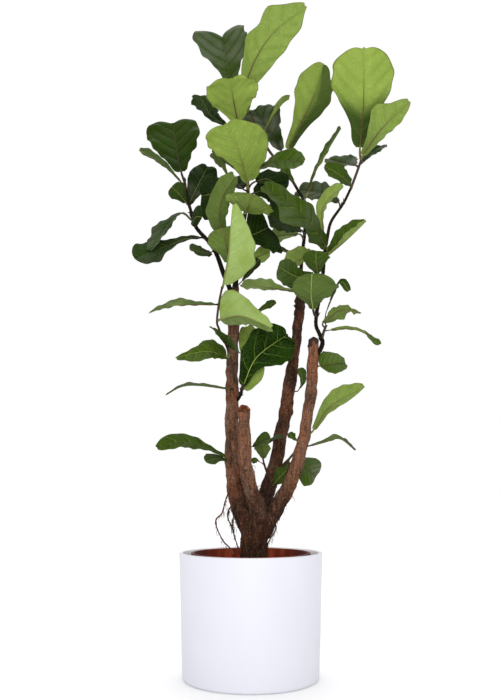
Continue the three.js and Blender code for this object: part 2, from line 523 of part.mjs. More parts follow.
// The blade: a waved sheet with the same triangles on both faces, joined round its edge.
function bladeSolid(leaf) {
  const { rowLength, fewestRows, mostRows, halfColumns: half } = BLADE;
  const rowCount = THREE.MathUtils.clamp(Math.round(leaf.length / rowLength), fewestRows, mostRows);
  const surface = [leaf.pointAt(0, 0)];
  const faces = [];
  const at = (row, side) => 1 + (row - 1) * (2 * half + 1) + side + half;
  for (let row = 1; row < rowCount; row++) {
    for (let side = -half; side <= half; side++) surface.push(leaf.pointAt(row / rowCount, side / half));
  }
  const tip = surface.push(leaf.frameAt(BLADE.tip).point) - 1;
  for (let side = -half; side < half; side++) {
    faces.push([0, at(1, side + 1), at(1, side)]);
    for (let row = 1; row < rowCount - 1; row++) {
      faces.push([at(row, side), at(row, side + 1), at(row + 1, side + 1)]);
      faces.push([at(row, side), at(row + 1, side + 1), at(row + 1, side)]);
    }
    faces.push([at(rowCount - 1, side), at(rowCount - 1, side + 1), tip]);
  }
  const normals = surface.map(() => new Vector3());
  for (const [a, b, c] of faces) {
    const normal = surface[b].clone().sub(surface[a]).cross(surface[c].clone().sub(surface[a]));
    [a, b, c].forEach((i) => normals[i].add(normal));
  }
  const count = surface.length;
  const lift = (sign) => surface.map((point, i) => point.clone()
    .addScaledVector(normals[i].clone().normalize(), sign * BLADE_THICKNESS / 2));
  const vertices = [...lift(1), ...lift(-1)];
  const triangles = [...faces, ...faces.map(([a, b, c]) => [a + count, c + count, b + count])];
  const rim = [0];
  for (let row = 1; row < rowCount; row++) rim.push(at(row, half));
  rim.push(tip);
  for (let row = rowCount - 1; row > 0; row--) rim.push(at(row, -half));
  rim.forEach((from, i) => {
    const to = rim[(i + 1) % rim.length];
    triangles.push([to, from, from + count], [to, from + count, to + count]);
  });
  return solidFrom(vertices, triangles);
}

// The petiole: a thin stalk from the stem's axis that runs on under the blade as its midrib.
function petioleSolid(leaf) {
  const { thinnest, thickest, least, perWidth, flare, taper } = PETIOLE;
  const thickness = THREE.MathUtils.clamp(least + perWidth * leaf.width, thinnest, thickest);
  const root = new Vector3(...leaf.root);
  const base = leaf.frameAt(0);
  const bend = base.point.clone().addScaledVector(base.direction, -0.5 * base.point.distanceTo(root));
  const curve = new THREE.QuadraticBezierCurve3(root, bend, base.point);
  const stalk = curve.getPoints(2)
    .map((point, i) => [...point.toArray(), thickness * (flare - taper * i)]);
  const under = [...leaf.frameAt(0.1).point.toArray(), Math.max(0.7 * thickness, 0.9)];
  return tube([...stalk, under], TWIG_SIDES);
}

// ---- Pots and soil ----
function turned(profile, sides) {
  return solidOf(new THREE.LatheGeometry(profile.map(([r, z]) => new THREE.Vector2(r, z)), sides)
    .rotateX(Math.PI / 2));
}

function planterSolid() {
  const { rim, foot, height, wall, floor, lip, bevel, sides } = PLANTER;
  return turned([
    [0, 0], [foot - bevel, 0], [foot - 0.3 * bevel, 0.3 * bevel], [foot, bevel],
    [rim, height - lip], [rim - lip, height], [rim - wall + lip, height], [rim - wall, height - lip],
    [foot - wall, floor + bevel], [foot - wall - bevel, floor], [0, floor]], sides);
}

const linerBase = PLANTER.floor + SEAT_GAP;

// The liner's outer and inner radius at a height above the planter's underside.
function linerRadius(z) {
  const { mouth, foot, height } = LINER;
  return foot + (mouth - foot) * (z - linerBase) / height;
}

function linerInside(z) {
  const { mouth, foot, height, wall, floor } = LINER;
  return foot - wall + (mouth - foot) * (z - linerBase - floor) / (height - 1 - floor);
}

function linerSolid() {
  const { rim, mouth, foot, height, wall, floor, curl, sides } = LINER;
  const top = linerBase + height;
  return turned([
    [0, linerBase], [foot, linerBase], [linerRadius(top - curl), top - curl], [rim, top - curl],
    [rim, top - 1], [rim - 1, top], [mouth - 1, top], [mouth - wall, top - 1],
    [foot - wall, linerBase + floor], [0, linerBase + floor]], sides);
}

function soilSolid(stand) {
  const inner = (z) => linerInside(z) - SEAT_GAP;
  const top = SOIL_TOP;
  const draw = seededDraw('soil');
  const bottom = linerBase + LINER.floor + SEAT_GAP;
  const rings = [[inner(bottom), bottom],
    [inner(top - 4), top - 4], [inner(top - 4) - 7, top - 1],
    [0.75 * inner(top), top], [0.43 * inner(top), top + 2]];
  const { sides } = LINER;
  const vertices = [new Vector3(0, 0, rings[0][1])];
  rings.forEach(([radius, z], ring) => {
    for (let k = 0; k < sides; k++) {
      const angle = 2 * Math.PI * k / sides;
      const rough = ring > 1 ? SOIL_RELIEF * (2 * draw() - 1) : 0;
      vertices.push(new Vector3(radius * Math.cos(angle), radius * Math.sin(angle), z + rough));
    }
  });
  const peak = vertices.push(new Vector3(0, 0, top + 4)) - 1;
  const triangles = [];
  const at = (ring, k) => 1 + ring * sides + k % sides;
  for (let k = 0; k < sides; k++) {
    triangles.push([0, at(0, k + 1), at(0, k)]);
    for (let ring = 0; ring < rings.length - 1; ring++) {
      triangles.push([at(ring, k), at(ring, k + 1), at(ring + 1, k + 1)],
        [at(ring, k), at(ring + 1, k + 1), at(ring + 1, k)]);
    }
    triangles.push([at(rings.length - 1, k), at(rings.length - 1, k + 1), peak]);
  }
  return largestPiece(solidFrom(vertices, triangles).subtract(stand));
}

// ---- Assembly ----
const colours = {
  planter: new THREE.MeshStandardMaterial({ color: 0xf1f1f6, roughness: 0.45, metalness: 0 }),
  liner: new THREE.MeshStandardMaterial({ color: 0x7a2a18, roughness: 0.5, metalness: 0 }),
  soil: new THREE.MeshStandardMaterial({ color: 0x2a1d15, roughness: 1, metalness: 0 }),
  bark: new THREE.MeshStandardMaterial({ color: 0x5b4334, roughness: 0.9, metalness: 0 }),
  leaf: new THREE.MeshStandardMaterial({ color: 0x4f7a33, roughness: 0.5, metalness: 0 }),
};

const union = (solids) => wasm.Manifold.union(solids);
const woodStems = STEMS.filter((stem) => !stem.node);
const wood = union(woodStems.map((stem) => stemSolid(stem, 0)));
const woodSpace = union(woodStems.map((stem) => stemSolid(stem, STEM_GAP)));

const plant = new THREE.Group();
function add(name, solid, material) {
  const mesh = new THREE.Mesh(geometryFrom(solid), material);
  mesh.name = name;
  plant.add(mesh);
}

add('planter', planterSolid(), colours.planter);
add('nursery_pot', linerSolid(), colours.liner);
add('soil', soilSolid(woodSpace), colours.soil);
add('wood', largestPiece(wood), colours.bark);

// Each leaf is a piece of its own; the leaves of a shoot's end or of a small twig share its piece.
const nodes = new Map();
for (const leaf of LEAVES) {
  const pieces = nodes.get(leaf.node) ?? STEMS.filter((stem) => stem.node === leaf.node)
    .map((stem) => stemSolid(stem, 0));
  pieces.push(bladeSolid(leaf), petioleSolid(leaf));
  nodes.set(leaf.node, pieces);
}
for (const [name, pieces] of nodes) {
  add(name, largestPiece(union(pieces).subtract(woodSpace)), colours.leaf);
}

export default plant;
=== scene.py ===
"""Looks of the potted fiddle leaf fig: fine waved leaves, bark, aerial roots, pots and soil."""
import math

import bpy
import numpy as np
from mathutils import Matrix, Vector, kdtree, noise


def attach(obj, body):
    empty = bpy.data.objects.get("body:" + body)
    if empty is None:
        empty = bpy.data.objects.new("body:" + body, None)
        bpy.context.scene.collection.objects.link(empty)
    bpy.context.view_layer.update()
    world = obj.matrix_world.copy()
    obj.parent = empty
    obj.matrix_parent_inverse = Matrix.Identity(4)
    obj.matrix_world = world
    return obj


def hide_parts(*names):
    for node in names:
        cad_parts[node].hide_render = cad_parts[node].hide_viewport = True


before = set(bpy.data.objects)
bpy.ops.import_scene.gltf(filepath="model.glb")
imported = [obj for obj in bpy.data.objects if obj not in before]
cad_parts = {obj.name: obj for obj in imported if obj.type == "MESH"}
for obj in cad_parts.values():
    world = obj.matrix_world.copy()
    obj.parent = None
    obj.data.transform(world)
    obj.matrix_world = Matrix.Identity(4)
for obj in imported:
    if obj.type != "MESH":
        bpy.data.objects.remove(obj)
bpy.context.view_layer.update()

MM = 0.001

# ---- The eye from which places on the plant were read, as [across, down] of a 500 x 700 view ----
VIEW_WIDTH, VIEW_HEIGHT = 500, 700
EYE_BACK, EYE_HEIGHT, EYE_TILT = 2100.0, 476.0, math.radians(9.2)
EYE_FOCAL, EYE_ACROSS, EYE_DOWN = 812.7, 250.8, 350.0
SENSOR = 36.0

# ---- Pots and soil, mm, as in the part ----
PLANTER = dict(rim=180, foot=168, height=302, wall=9, floor=10)
LINER = dict(rim=150, mouth=145, foot=116, height=290, wall=2.2, floor=3, curl=11)
SOIL_TOP = 264
SEAT_GAP = 0.3

# ---- Stems: a name, then points of across,down,depth,radius ----
STEM_TABLE = """
trunk
  254,608,0,20 254,590,0,27 254,572,0,31 254,560,0,32 254,550,0,33 254.5,537,0,34 256,524,0,37
  258,514,0,30
left_stem
  252,534,4,24 243.5,517,12,24 236.3,494,20,22 232.8,465,27,19.5 232,440,33,18.5 232,411,39,17.5
  232,380,45,16.5 232.5,350,48,15.5 233.5,326,52,14.5 234.5,300,55,13 235.5,284,58,10
front_stem
  260,520,-22,22 255.3,503,-36,20 250.3,487,-46,17.5 245.7,465,-52,16.3 244.3,440,-56,16
  244.3,407,-60,14
middle_stem
  258,528,10,24 264,503,28,22.5 270.5,480,46,19 276.7,460,60,18 281,435,72,17 285,417,82,17
  287.5,399,88,17 290.3,381,95,17 293,363,102,15.5 295.8,344.5,108,14 298,326,112,14
  299.6,314,116,15 300,297,120,13
right_stem
  262,533,-5,23 270,519,-20,20 279.5,503,-32,19 290.5,482,-42,17.5 298,460,-51,17 304,438,-58,15
  307.3,417,-63,14 310.5,395,-68,14 311.5,384,-70,14 312.8,365,-74,13.5 313.7,339,-78,13
left_leader
  235.5,292,56,6.9 237,265,36,6 240,240,14,5.6 245,215,-6,5.2 248,193,-20,4.7 246,165,-34,4.3
left_shoot
  246.3,168,-32,4.4 246,165,-34,4.4 242,140,-45,4.4 240,124,-50,4 node=left_tip
left_branch
  234.5,302,55,6.9 228,284,58,6.5 224,275,62,6.5 216.5,254,70,6 209,242,76,5.6 196,227,84,5.2
  190.5,209.7,88,4.3 186,190,90,3.9
branch_shoot
  186.4,192,90,4 186,190,90,4 184.5,181,91,4 node=branch_tip
hanging_twig
  235,390,50,4 233.5,374,20,3.5 228,350,-2,3.2 219,329,-24,3 217,321,-30,3 219,303,-44,3
  222,288,-52,2.8 node=hanging_spray
inner_twig
  236,402,44,4.5 240,396,22,4 242,389,10,3.5
middle_leader
  300.5,300,120,6.9 301,273,122,5.2 302,255,122,5.2 304.5,235,124,4.7 305.3,211,126,4.7
  304.3,201,128,4.7
  299.5,193,130,4.3 292,180,134,4
middle_shoot
  293.5,182.5,133.6,4.1 292,180,134,4.1 283,168,138,4.1 270,152,142,4 262,138,145,4 254,122,148,3.5
  250.5,114,149,2.5 node=middle_tip
right_leader
  313,360,-72,6 320,350,-66,6 322.5,342,-64,5.6 319.5,334,-62,5.2 316,325,-60,4.7 317,311,-58,4.7
  321,290,-54,4.7 323.5,268,-48,4.7 324,256,-44,4.3 327,240,-38,4.1 331,222,-32,3.9 343,204,-24,3.6
  351,188,-18,3.4
right_shoot
  349.8,190.5,-18.5,3.5 351,188,-18,3.5 357,172,-14,3.5 361.5,159,-12,3.2 node=right_tip
right_twig
  321.5,340,-63,4 324,331,-72,3.4 326.5,325,-80,3 node=right_spray
low_twig
  272,484,30,3.5 266.7,471.6,2,3 263.5,462,-10,2.6 node=low_spray
back_twig
  279,470,58,4 284,464,50,3.6 289,459,44,3.2 294,453,42,3 node=back_spray
root_a
  230,490,22,3 226,499,10,3 222,513,0,3 216.3,519,-5,3 216.3,526,-8,2.8 219.5,534,-8,2.6
  224,542,-5,2.6 230,548,-3,2.4 235,558,0,2.3 238,572,2,2.2
root_b
  233,503,18,3 228,512,8,3 228.5,520,4,2.8 232.5,528,2,2.6 235,538,0,2.6 238,548,-2,2.6
  241,560,-2,2.5 243,572,0,2.2
root_c
  236,512,14,2.4 232.5,521,4,2.2 232.8,530,2,2
root_d
  273,519,-12,3 276,526,-14,2.8 274,533,-14,2.6 269,541,-12,2.4 267,549,-10,2.4 266,560,-8,2.2
  266,572,-6,2
"""

# ---- Leaves: a name, the stem, across,down where the petiole leaves it, then the midrib's points
# as across,down,depth behind the stem, and the same form as in the part. A leaf is in its stem's node,
# if that has one, or else in a node of its own ----
LEAF_TABLE = """
leaf_01 left_shoot 240,128 237,108,10 229,72,60 222,36.5,110 width=164 fold=14 wave=8 shape=1 low=-0.17
  one=1/1/1/0.95/0.82/0.7 other=0.75/0.8/0.85/1/1.02/1.12 lobe=0.22
leaf_02 left_shoot 240.5,127 243,114,-8 248,77,-65 270,36.5,-120 306,5.5,-165 width=118 roll=180 fold=-4
  curl=-15 wave=5 shape=0.9 point=0.3 one=0.8/0.8/0.8/0.95/1/1.08/0.82/1.15/0.84/0.7/0.55
  other=1.4/1.4/1.4/1.5/1.3/1.1/0.98/0.94/0.84/0.4/0.2
leaf_03 left_shoot 240.5,129 237.5,120,-22 233,98,-95 230,78,-165 width=125 roll=180 fold=5 wave=6
  shape=0.2 low=0.08 one=1.3/1.2/1.1/1.05/1/0.95 other=1.3/1.2/1.1/1.1/1/1
leaf_04 left_leader 248.5,193 247,181,-20 239,153,-95 226,122.5,-165 width=160 roll=180 fold=-5 wave=4
  shape=0 one=0.6/0.55/0.53/0.54/0.57/0.66/0.76/0.82/1/1.2/1.1
  other=1.4/1.4/1.38/1.33/1.25/1.14/1.05/0.88/0.72/0.55/0.5
leaf_05 left_shoot 241,131 227,126,0 211,114.5,-14 200,95.5,-17 width=112 roll=62 fold=5 wave=5 shape=0.5
leaf_06 middle_shoot 261,137 265,130,-11 275,113,-35 283,103,-42 289,99,-31 width=52 roll=102 twist=20
  fold=20 wave=3 shape=0.8
leaf_07 middle_shoot 278,161 281,150,10 269,130,50 254,109,85 width=110 roll=15 fold=15 wave=9
  one=1/1.1/0.85/1.15/0.9/1
leaf_08 middle_shoot 282,166 288,149,-14 301,123,-42 315,93,-63 323,63,-56 width=126 roll=165 fold=15
  wave=5 shape=0.8 one=1.1/1.1/1.05/0.8/0.3 other=1.1/1.15/1.05/0.8/0.7
leaf_09 right_shoot 361.5,160 360,147,-15 363.5,104,-75 364,47,-100 width=168 roll=180 wave=6 shape=0.6
  other=1/1/1/0.95/0.93/0.93 one=1.15/1.15/1.1/1/1
leaf_10 right_shoot 361.5,161 363,155,-22 382,128,-75 409,100.5,-110 width=100 roll=165 fold=10 wave=5
  shape=0.7 point=0.3 one=1/1/1.1/1.2/1.1/1.3/1.15/0.75/0.6/0.6/0.5
  other=1/1/1.05/0.95/0.75/0.68/0.64/0.62/0.58/0.55/0.5
leaf_11 right_shoot 360,164 363,162,7 371,154,28 381,145.5,42 width=80 roll=60 fold=10 wave=3 shape=0.8
leaf_12 right_shoot 358.5,168 355,165,7 343,163.5,76 328,158.5,140 width=95 roll=58 fold=10 wave=5
  shape=0.4 point=0.5 low=0.15
leaf_13 right_leader 350,190 351,184,-20 340,175,-42 324.5,166,-53 width=70 roll=48 fold=10 wave=3
  shape=0.2 point=0.4 one=1.8/1.5/1/1/1 other=1.8/1.5/1/1/1
leaf_14 middle_leader 305.5,200 308,192,-45 315.5,171,-72 328.5,148.5,-88 341,128,-98 width=70 roll=108
  twist=20 fold=10 shape=0.8 one=1/0.8/0.8/0.8/1/1 other=1.2/1.2/1/0.6/0.3/0.2
leaf_15 right_leader 340.5,208 338,202,22 322,193,122 298,190,200 fold=10 width=72 roll=30
leaf_16 right_leader 325.8,246 323.5,234,-14 321.5,212,-42 329,197,-56 343,185.5,-63 width=76 roll=120
  fold=10 shape=0.9 point=0.4
leaf_17 right_leader 324,262 328,255,-11 347,239,-42 366,221,-56 width=84 roll=70 fold=40 shape=0.4
  point=0.5 other=2/1.7/1.2/1/1
leaf_18 right_leader 324,256 326,246.5,-40 311.5,224,-84 291,203,-112 263,185,-112 width=58 roll=45 wave=5
  shape=0.5 one=3/2.6/1.7/1/1/1 other=3.2/4/3.2/1.7/1.1/1
leaf_19 middle_leader 304.5,236 301,230,-28 285,221,-70 267,213,-98 width=112 roll=48 fold=10 wave=5
  one=0.8/0.8/0.8/0.8
leaf_20 middle_leader 303.5,242 298,234,-14 284,235,-28 270,238,-42 width=84 roll=130 fold=10 wave=3
leaf_21 middle_leader 302,254 299,253,-21 286,252,-31 268,244,-39 width=62 roll=80 twist=20 fold=10
  shape=0.6
leaf_22 right_leader 323.6,262 317,254,8 301,259,-21 284,266,-39 width=92 roll=128 fold=10
leaf_23 right_leader 321,288 314,275,-60 298,277,-92 278,266.5,-120 width=70 roll=20 fold=6
  other=0.7/0.85/1.05/1.15/1.1 one=1/0.9/0.9/0.9
leaf_24 right_leader 316,318 313,309,-40 311,293,-105 312,273,-160 width=112 roll=180 fold=-5 wave=5
  shape=0.5 point=0.2 one=0.6/0.7/0.85/0.9/0.85/0.8 other=0.85/1/1.15/1.25/1.25/1.1
leaf_25 right_leader 321.5,284 318,274,-35 316,262,-49 316,251,-56 width=72 roll=20 fold=5 wave=2
leaf_30 branch_shoot 184.6,182 181,171,15 176,147,60 172.5,122.5,105 width=154 fold=6 wave=5 shape=0
  other=1/1/1/1.05/1.1/1.1 lobe=0.06
leaf_31 branch_shoot 185,185 181,182,-7 162,163.5,-42 139.2,149.8,-63 width=58 roll=112 fold=10 wave=2
  shape=0.7
leaf_32 left_branch 189,206 186,203,-3 179,194,-12 171.5,187,-22 width=60 roll=25 fold=10 wave=3 shape=0.2
leaf_33 left_branch 190.5,209 189,204,8 197,187,46 208,166,82 width=85 roll=15 fold=10
  other=1/1/0.95/0.85/0.7
leaf_34 left_leader 247,203 231,193,54 217,193,86 201,196,112 width=130 roll=10 fold=10 shape=0
  one=1/0.95/0.8/0.65/0.6 other=1/1.1/1.15/1.2/1.2
leaf_35 left_branch 196,227 192,221,-7 181,213,-21 165,229,-70 151,250,-101 width=62 roll=60 fold=10
  shape=0.5 point=0.3 one=1.3/1.4/1.4/1.3 other=1/0.8/0.8/1
leaf_36 left_branch 196,227 192,222,-24 196,217,-46 202,217,-61 width=62 roll=40 fold=10 wave=3
leaf_37 left_branch 208,241 200,237.5,-8 184,239,-35 161,248,-63 134.5,258.5,-84 width=92 roll=50 fold=10
  wave=5 shape=0.9 low=-0.15 other=1.1/1.1/1.15/1.25/1.3
leaf_38 left_branch 212,247 211,252,-14 203,252,-35 189.5,248.5,-56 width=54 roll=50 fold=10
  other=1.6/1.5/1/0.6/0.5 one=0.8/0.8
leaf_40 left_leader 247,184 229,179,-6 221,165,-17 210,155,-25 width=52 roll=112 fold=10 wave=3 shape=0.5
leaf_41 left_leader 246.5,171 236,170,17 224,160,34 214,150,42 width=40 roll=60 fold=10 wave=3 shape=0.5
leaf_42 left_leader 241,236 228,238,-31 219,220,-49 222,197,-73 235,175,-70 width=58 roll=150 fold=10
  shape=0.2 one=1.5/1.4/1.2/1.1/1 other=1.2/1.2/1.1/1/1 low=0.15
leaf_43 left_leader 237,262 229,263,-54 227,248,-74 222,228,-86 width=102 roll=165 wave=3 shape=0.1
leaf_44 hanging_twig 222,288.5 223.5,284,-8 229,255,-60 231,230,-92 233,204,-108 wave=3 roll=-135 fold=45
  low=0.2 shape=0.2 point=0.7 width=162
leaf_45 left_leader 245,214 246.5,212,-26 249,204,-64 252,193.5,-100 width=146 roll=180 fold=-10 wave=5
  shape=0 point=0.4
leaf_46 left_leader 247.8,191 243,189,14 238,184,35 233,178,56 width=80 roll=30 fold=10 wave=3 shape=0.1
leaf_47 left_leader 248,190 256,181.5,11 268,179,25 286,190,39 width=88 roll=45 fold=10 wave=5 shape=0.2
leaf_48 left_leader 247,172 260,168,-28 280,160,-70 304,162,-105 width=75 roll=40 point=0.4
leaf_49 middle_leader 297,188 294,182,-7 288,175,-21 280.5,169,-31 width=48 roll=55 fold=10 wave=3
leaf_50 left_leader 247.5,198 254,193,17 264,191,39 275,196,62 width=90 roll=35 fold=10 wave=3 shape=0.1
leaf_51 left_leader 242,230 247,237,5 257,233,25 269,227,50 width=165 roll=10 fold=10 wave=5 shape=0
leaf_52 left_leader 239,257 247,259,21 257,257,39 270,252,53 width=52 roll=150 fold=10 wave=2 shape=0.1
leaf_53 left_stem 236,286 242,281,-31 250,272,-39 259,259,-46 width=40 roll=50 fold=10 wave=3
leaf_54 middle_stem 299.8,300 294,291.5,-25 271,287.5,-56 241.5,284,-91 width=80 roll=118 fold=10 shape=0.9
  point=0.2
leaf_55 hanging_twig 217,321 220.5,319.5,-8 243,316,-60 272,327.5,-85 width=145 roll=150 fold=25 shape=0.2
  one=3/2.8/1.9/0.85/0.4/0.3/0.2/0.2 other=1.5/1.2/0.8/0.5/0.4/0.5/0.6
leaf_56 left_stem 234,321 253,316,-11 264,308,-17 276,302,-22 width=32 roll=55 fold=10 wave=2 shape=0.5
leaf_57 inner_twig 242,390 243.5,385,-5 257,357,0 288,334,12 width=126 fold=6 wave=5 shape=0.1
  other=1/1/1/0.95/0.85/0.7 one=0.5/0.6/0.9/1/1
leaf_58 hanging_twig 219,304 214,304.5,-7 190,304.3,-42 168,306,-70 149,312.8,-91 width=72 roll=110 fold=10
  shape=0.6 point=0.6
leaf_59 hanging_twig 226,346 227,345,-10 228,340,-80 229,336,-150 width=105 fold=10 wave=3 roll=30
leaf_60 hanging_twig 227,349 227,357,-11 207,351,-42 176,357.5,-77 roll=48 shape=0.1 point=0.3 width=90
  one=3.6/3.1/1.4/0.55/0.3/0.2/0.15 other=1.6/1.4/1/0.8/0.7
leaf_61 left_stem 232,389 230,389,-28 200,385.3,-56 182,386.3,-70 166,394.8,-84 width=66 roll=98 wave=3
  shape=0.6 point=0.6
leaf_62 left_stem 231,461 226,457,-31 205,447,-63 180,441.5,-91 157,448,-119 width=72 roll=58 wave=3
  shape=0.5 point=0.4
leaf_63 left_stem 231,466 228,461,-25 217,458.5,-39 206,462,-53 width=46 roll=55 fold=10 wave=2
leaf_70 right_twig 326,326 327,310,-6 334,294,-17 341,281.5,-28 349,291,-36 width=26 roll=80 twist=30
  fold=10 wave=2 shape=0.3 one=1.8/2.2/1.8/0.8/0.9/1 other=1.8/2.2/1.8/0.8/0.9/1
leaf_71 right_twig 325.5,328 323,323,-4 340,310,-35 361,312.5,-63 width=62 roll=118 fold=5 wave=5 shape=0.4
  point=0.7 other=3/2.6/1.9/1.2/1
leaf_72 right_twig 324.5,331 331,330,-8 347,328.3,-31 363,332.3,-48 379,345,-63 width=46 roll=100 twist=60
  fold=10 wave=3 shape=0.6
leaf_73 right_stem 313,366 320,366,6 333,364,25 345.5,363,39 width=80 roll=35 fold=14 wave=2 shape=0
  low=0.3 point=0.3
leaf_74 right_stem 304.5,436 314,429.5,-11 330,406,-42 364,385.5,-77 width=80 roll=138 wave=2 shape=0.7
  point=0.4 other=1.1/1/0.8/0.6/0.5 one=1/1/1/0.95/0.85
leaf_75 right_stem 303,446 311,445.5,-14 326,441.5,-35 340,438.5,-49 355,450,-70 width=62 roll=105 fold=10
  wave=2 shape=0.6 point=0.5
leaf_76 back_twig 293.5,454 296,458,7 305,468,28 316,477,42 width=82 roll=20 wave=2 shape=0
leaf_77 right_stem 303,442 297,441,4 292.5,437.5,8 288.5,433,11 width=30 roll=50 fold=10 wave=2
leaf_78 middle_stem 270,482 273,485,-31 279,478,-45 286,471,-53 width=48 roll=30 fold=10 wave=3 shape=0.2
leaf_79 front_stem 244.5,447 252,446.5,3 260,442,-8 270,436,-14 width=42 roll=40 fold=10 wave=2 shape=0.4
leaf_80 low_twig 264,464 263.4,459,-6 262.8,453,-20 262,444,-36 width=42 roll=170 wave=2 shape=0.1
leaf_81 low_twig 264,464 266.5,445,8 274,439,14 283,436,20 width=24 roll=60 fold=10 wave=2 shape=0.4
leaf_82 low_twig 264.5,466 260,462,-6 256,460,-11 252,462.5,-14 width=22 roll=50 fold=10 wave=2 shape=0.4
leaf_83 middle_stem 289,389 299,389.5,-6 302.5,381,-17 299.5,368,-22 width=46 roll=60 fold=10 wave=2
  shape=0.4
leaf_84 back_twig 290,458 289,461,7 287.5,466,13 286,473,17 width=42 roll=20 wave=2 shape=0.1
leaf_64 inner_twig 242,392 243,389,6 252,370,22 250,345,34 246,326,44 width=60 roll=172 fold=5 wave=3
  shape=0.3 other=3/2.7/1.5/1/1/1 one=1.5/1.2/1/1/1
"""

LEAF_DEFAULTS = dict(width=60, roll=0, twist=0, fold=8, curl=0, wave=4, shape=0.3, low=0, point=0, lobe=0,
                     one=[1.0, 1.0], other=[1.0, 1.0])

# How light each leaf is, from 0, old and dark, to 1, the youngest. The low and negative tones of leaves
# deep in the crown are partly painted shade, and so is the darker half of a leaf that differs in halves.
# Below 0 the paler patches go as well.
LEAF_TONES = """
01=.35 02=.58 03=1.0 04=.67 05=.15 06=.6 07=.25 08=.75/.2 09=.8 10=.53 11=.3 12=.35 13=.4 14=.15/.75 15=.3
16=.62 17=.5 18=.4 19=.15 20=.45 21=.35 22=.55 23=.35 24=.2 25=.4 30=.28 31=.0 32=.28 33=-.2 34=.0 35=.15
36=-.1 37=.1 38=.25 40=.1 41=.15 42=.26 43=.28 44=.84 45=.5 46=-.1 47=-.05 48=.5 49=.45 50=-.3 51=.05
52=.72 53=-.1 54=.45 55=.8/.42 56=.4 57=.04 58=.22 59=.35 60=.6 61=.05 62=.45 63=.35 64=.7 70=.3 71=.4
72=.55 73=.74 74=.48 75=.25 76=.5 77=.4 78=.4 79=.35 80=.25 81=.3 82=.4 83=.4 84=.55
"""

# How much painted sheen a leaf has, as pale patches that stand in for the shine of light on it,
# where that is not the usual.
LEAF_SHEENS = """
01=.55 03=.0 04=.0 07=.75 08=.0 09=.0 11=.7 12=.8 13=.1 15=.55 18=.3 20=.5 23=.3 30=.0 33=.3 35=.45
37=.25 38=.35 44=.8 48=.3 54=.5 55=.7 57=.0 58=.55 61=.25 63=.5 73=.4 75=.3 76=.95 79=.4 81=.4 84=.5
"""

# How much darker a leaf's base is than its tip, where that is not the usual.
LEAF_BASES = "08=.3 09=1.15 10=.2 30=.1 44=.0 55=.0"

# How plain a leaf's veins are, where that is not the usual: from 0, faint with a brown midrib, to 1,
# bright pale green.
LEAF_VEINS = """
01=.2 02=.3 03=.3 04=.65 07=.1 08=.3 09=.15 10=.55 11=.3 12=.35 15=.3 16=.6 17=.62 18=.35 19=.3 22=.6
24=.9 30=.12 31=.3 33=.5 42=.5 43=.4 44=.68 45=.6 48=.35 52=.5 54=.45 55=.66 57=1.0 60=.7 62=.45 64=.4
73=.3 74=.6 76=.2 79=.3 81=.3
"""

# How light the bark of each thick stem is.
BARK_TONE = dict(trunk=0.14, left_stem=0.6, front_stem=0.72, middle_stem=0.16, right_stem=0.75)
THICK = 9.0    # mm: a stem that is thicker somewhere is part of the bark


def place(across, down, y):
    """The point at depth y that is seen at (across, down)."""
    right = (across - EYE_ACROSS) / EYE_FOCAL
    up = (EYE_DOWN - down) / EYE_FOCAL
    cos, sin = math.cos(EYE_TILT), math.sin(EYE_TILT)
    reach = (y + EYE_BACK) / (cos - up * sin)
    return np.array([reach * right, y, EYE_HEIGHT + reach * (sin + up * cos)])


def read_value(text):
    """A word, a number, or a list of numbers between slashes."""
    if "/" in text:
        return [float(number) for number in text.split("/")]
    return text if text[0].isalpha() else float(text)


def read_table(text):
    """Splits a table into entries of words, points and options."""
    entries = []
    for token in text.split():
        if "=" in token:
            key, value = token.split("=")
            entries[-1]["options"][key] = read_value(value)
        elif "," in token:
            entries[-1]["points"].append([float(number) for number in token.split(",")])
        elif entries and not entries[-1]["points"]:
            entries[-1]["words"].append(token)
        else:
            entries.append(dict(words=[token], points=[], options={}))
    return entries


def read_pairs(text):
    """A table of name=value words."""
    return {key: read_value(value) for key, value in (item.split("=") for item in text.split())}


LEAF_TONE, LEAF_SHEEN, LEAF_DARK_BASE, LEAF_VEIN = map(
    read_pairs, (LEAF_TONES, LEAF_SHEENS, LEAF_BASES, LEAF_VEINS))


def seeded_draw(name):
    """A row of numbers from 0 to 1 that is always the same for a name, as in the part."""
    seed = sum(ord(letter) * (i + 1) * 31 for i, letter in enumerate(name))
    while True:
        seed = (seed * 9301 + 49297) % 233280
        yield seed / 233280


def smooth_rows(rows, steps):
    """A Catmull-Rom curve through rows of numbers, with so many steps between two rows."""
    rows = np.asarray(rows, float)
    rows = np.vstack([2 * rows[0] - rows[1], rows, 2 * rows[-1] - rows[-2]])
    t = (np.arange(steps) / steps)[:, None]
    parts = []
    for a, b, c, d in zip(rows, rows[1:], rows[2:], rows[3:]):
        parts.append(0.5 * (2 * b + (c - a) * t + (2 * a - 5 * b + 4 * c - d) * t ** 2
                            + (3 * b - a - 3 * c + d) * t ** 3))
    return np.vstack(parts + [rows[-2]])


def unit(vectors):
    return vectors / np.linalg.norm(vectors, axis=-1, keepdims=True)


def lengths_along(points):
    """How far each point lies along the line through all of them."""
    return np.r_[0, np.cumsum(np.linalg.norm(np.diff(points, axis=0), axis=1))]


# ---- Meshes ----
def add_object(name, data):
    """An object in the scene that shows a mesh, a light or a camera."""
    item = bpy.data.objects.new(name, data)
    bpy.context.scene.collection.objects.link(item)
    return item


def set_values(mesh, values):
    """Gives each vertex of a mesh its named values."""
    for key, numbers in values.items():
        attribute = mesh.attributes.new(key, "FLOAT", "POINT")
        attribute.data.foreach_set("value", numbers)


def read_vectors(items, key):
    values = np.zeros(len(items) * 3, np.float32)
    items.foreach_get(key, values)
    return values.reshape(-1, 3).astype(float)


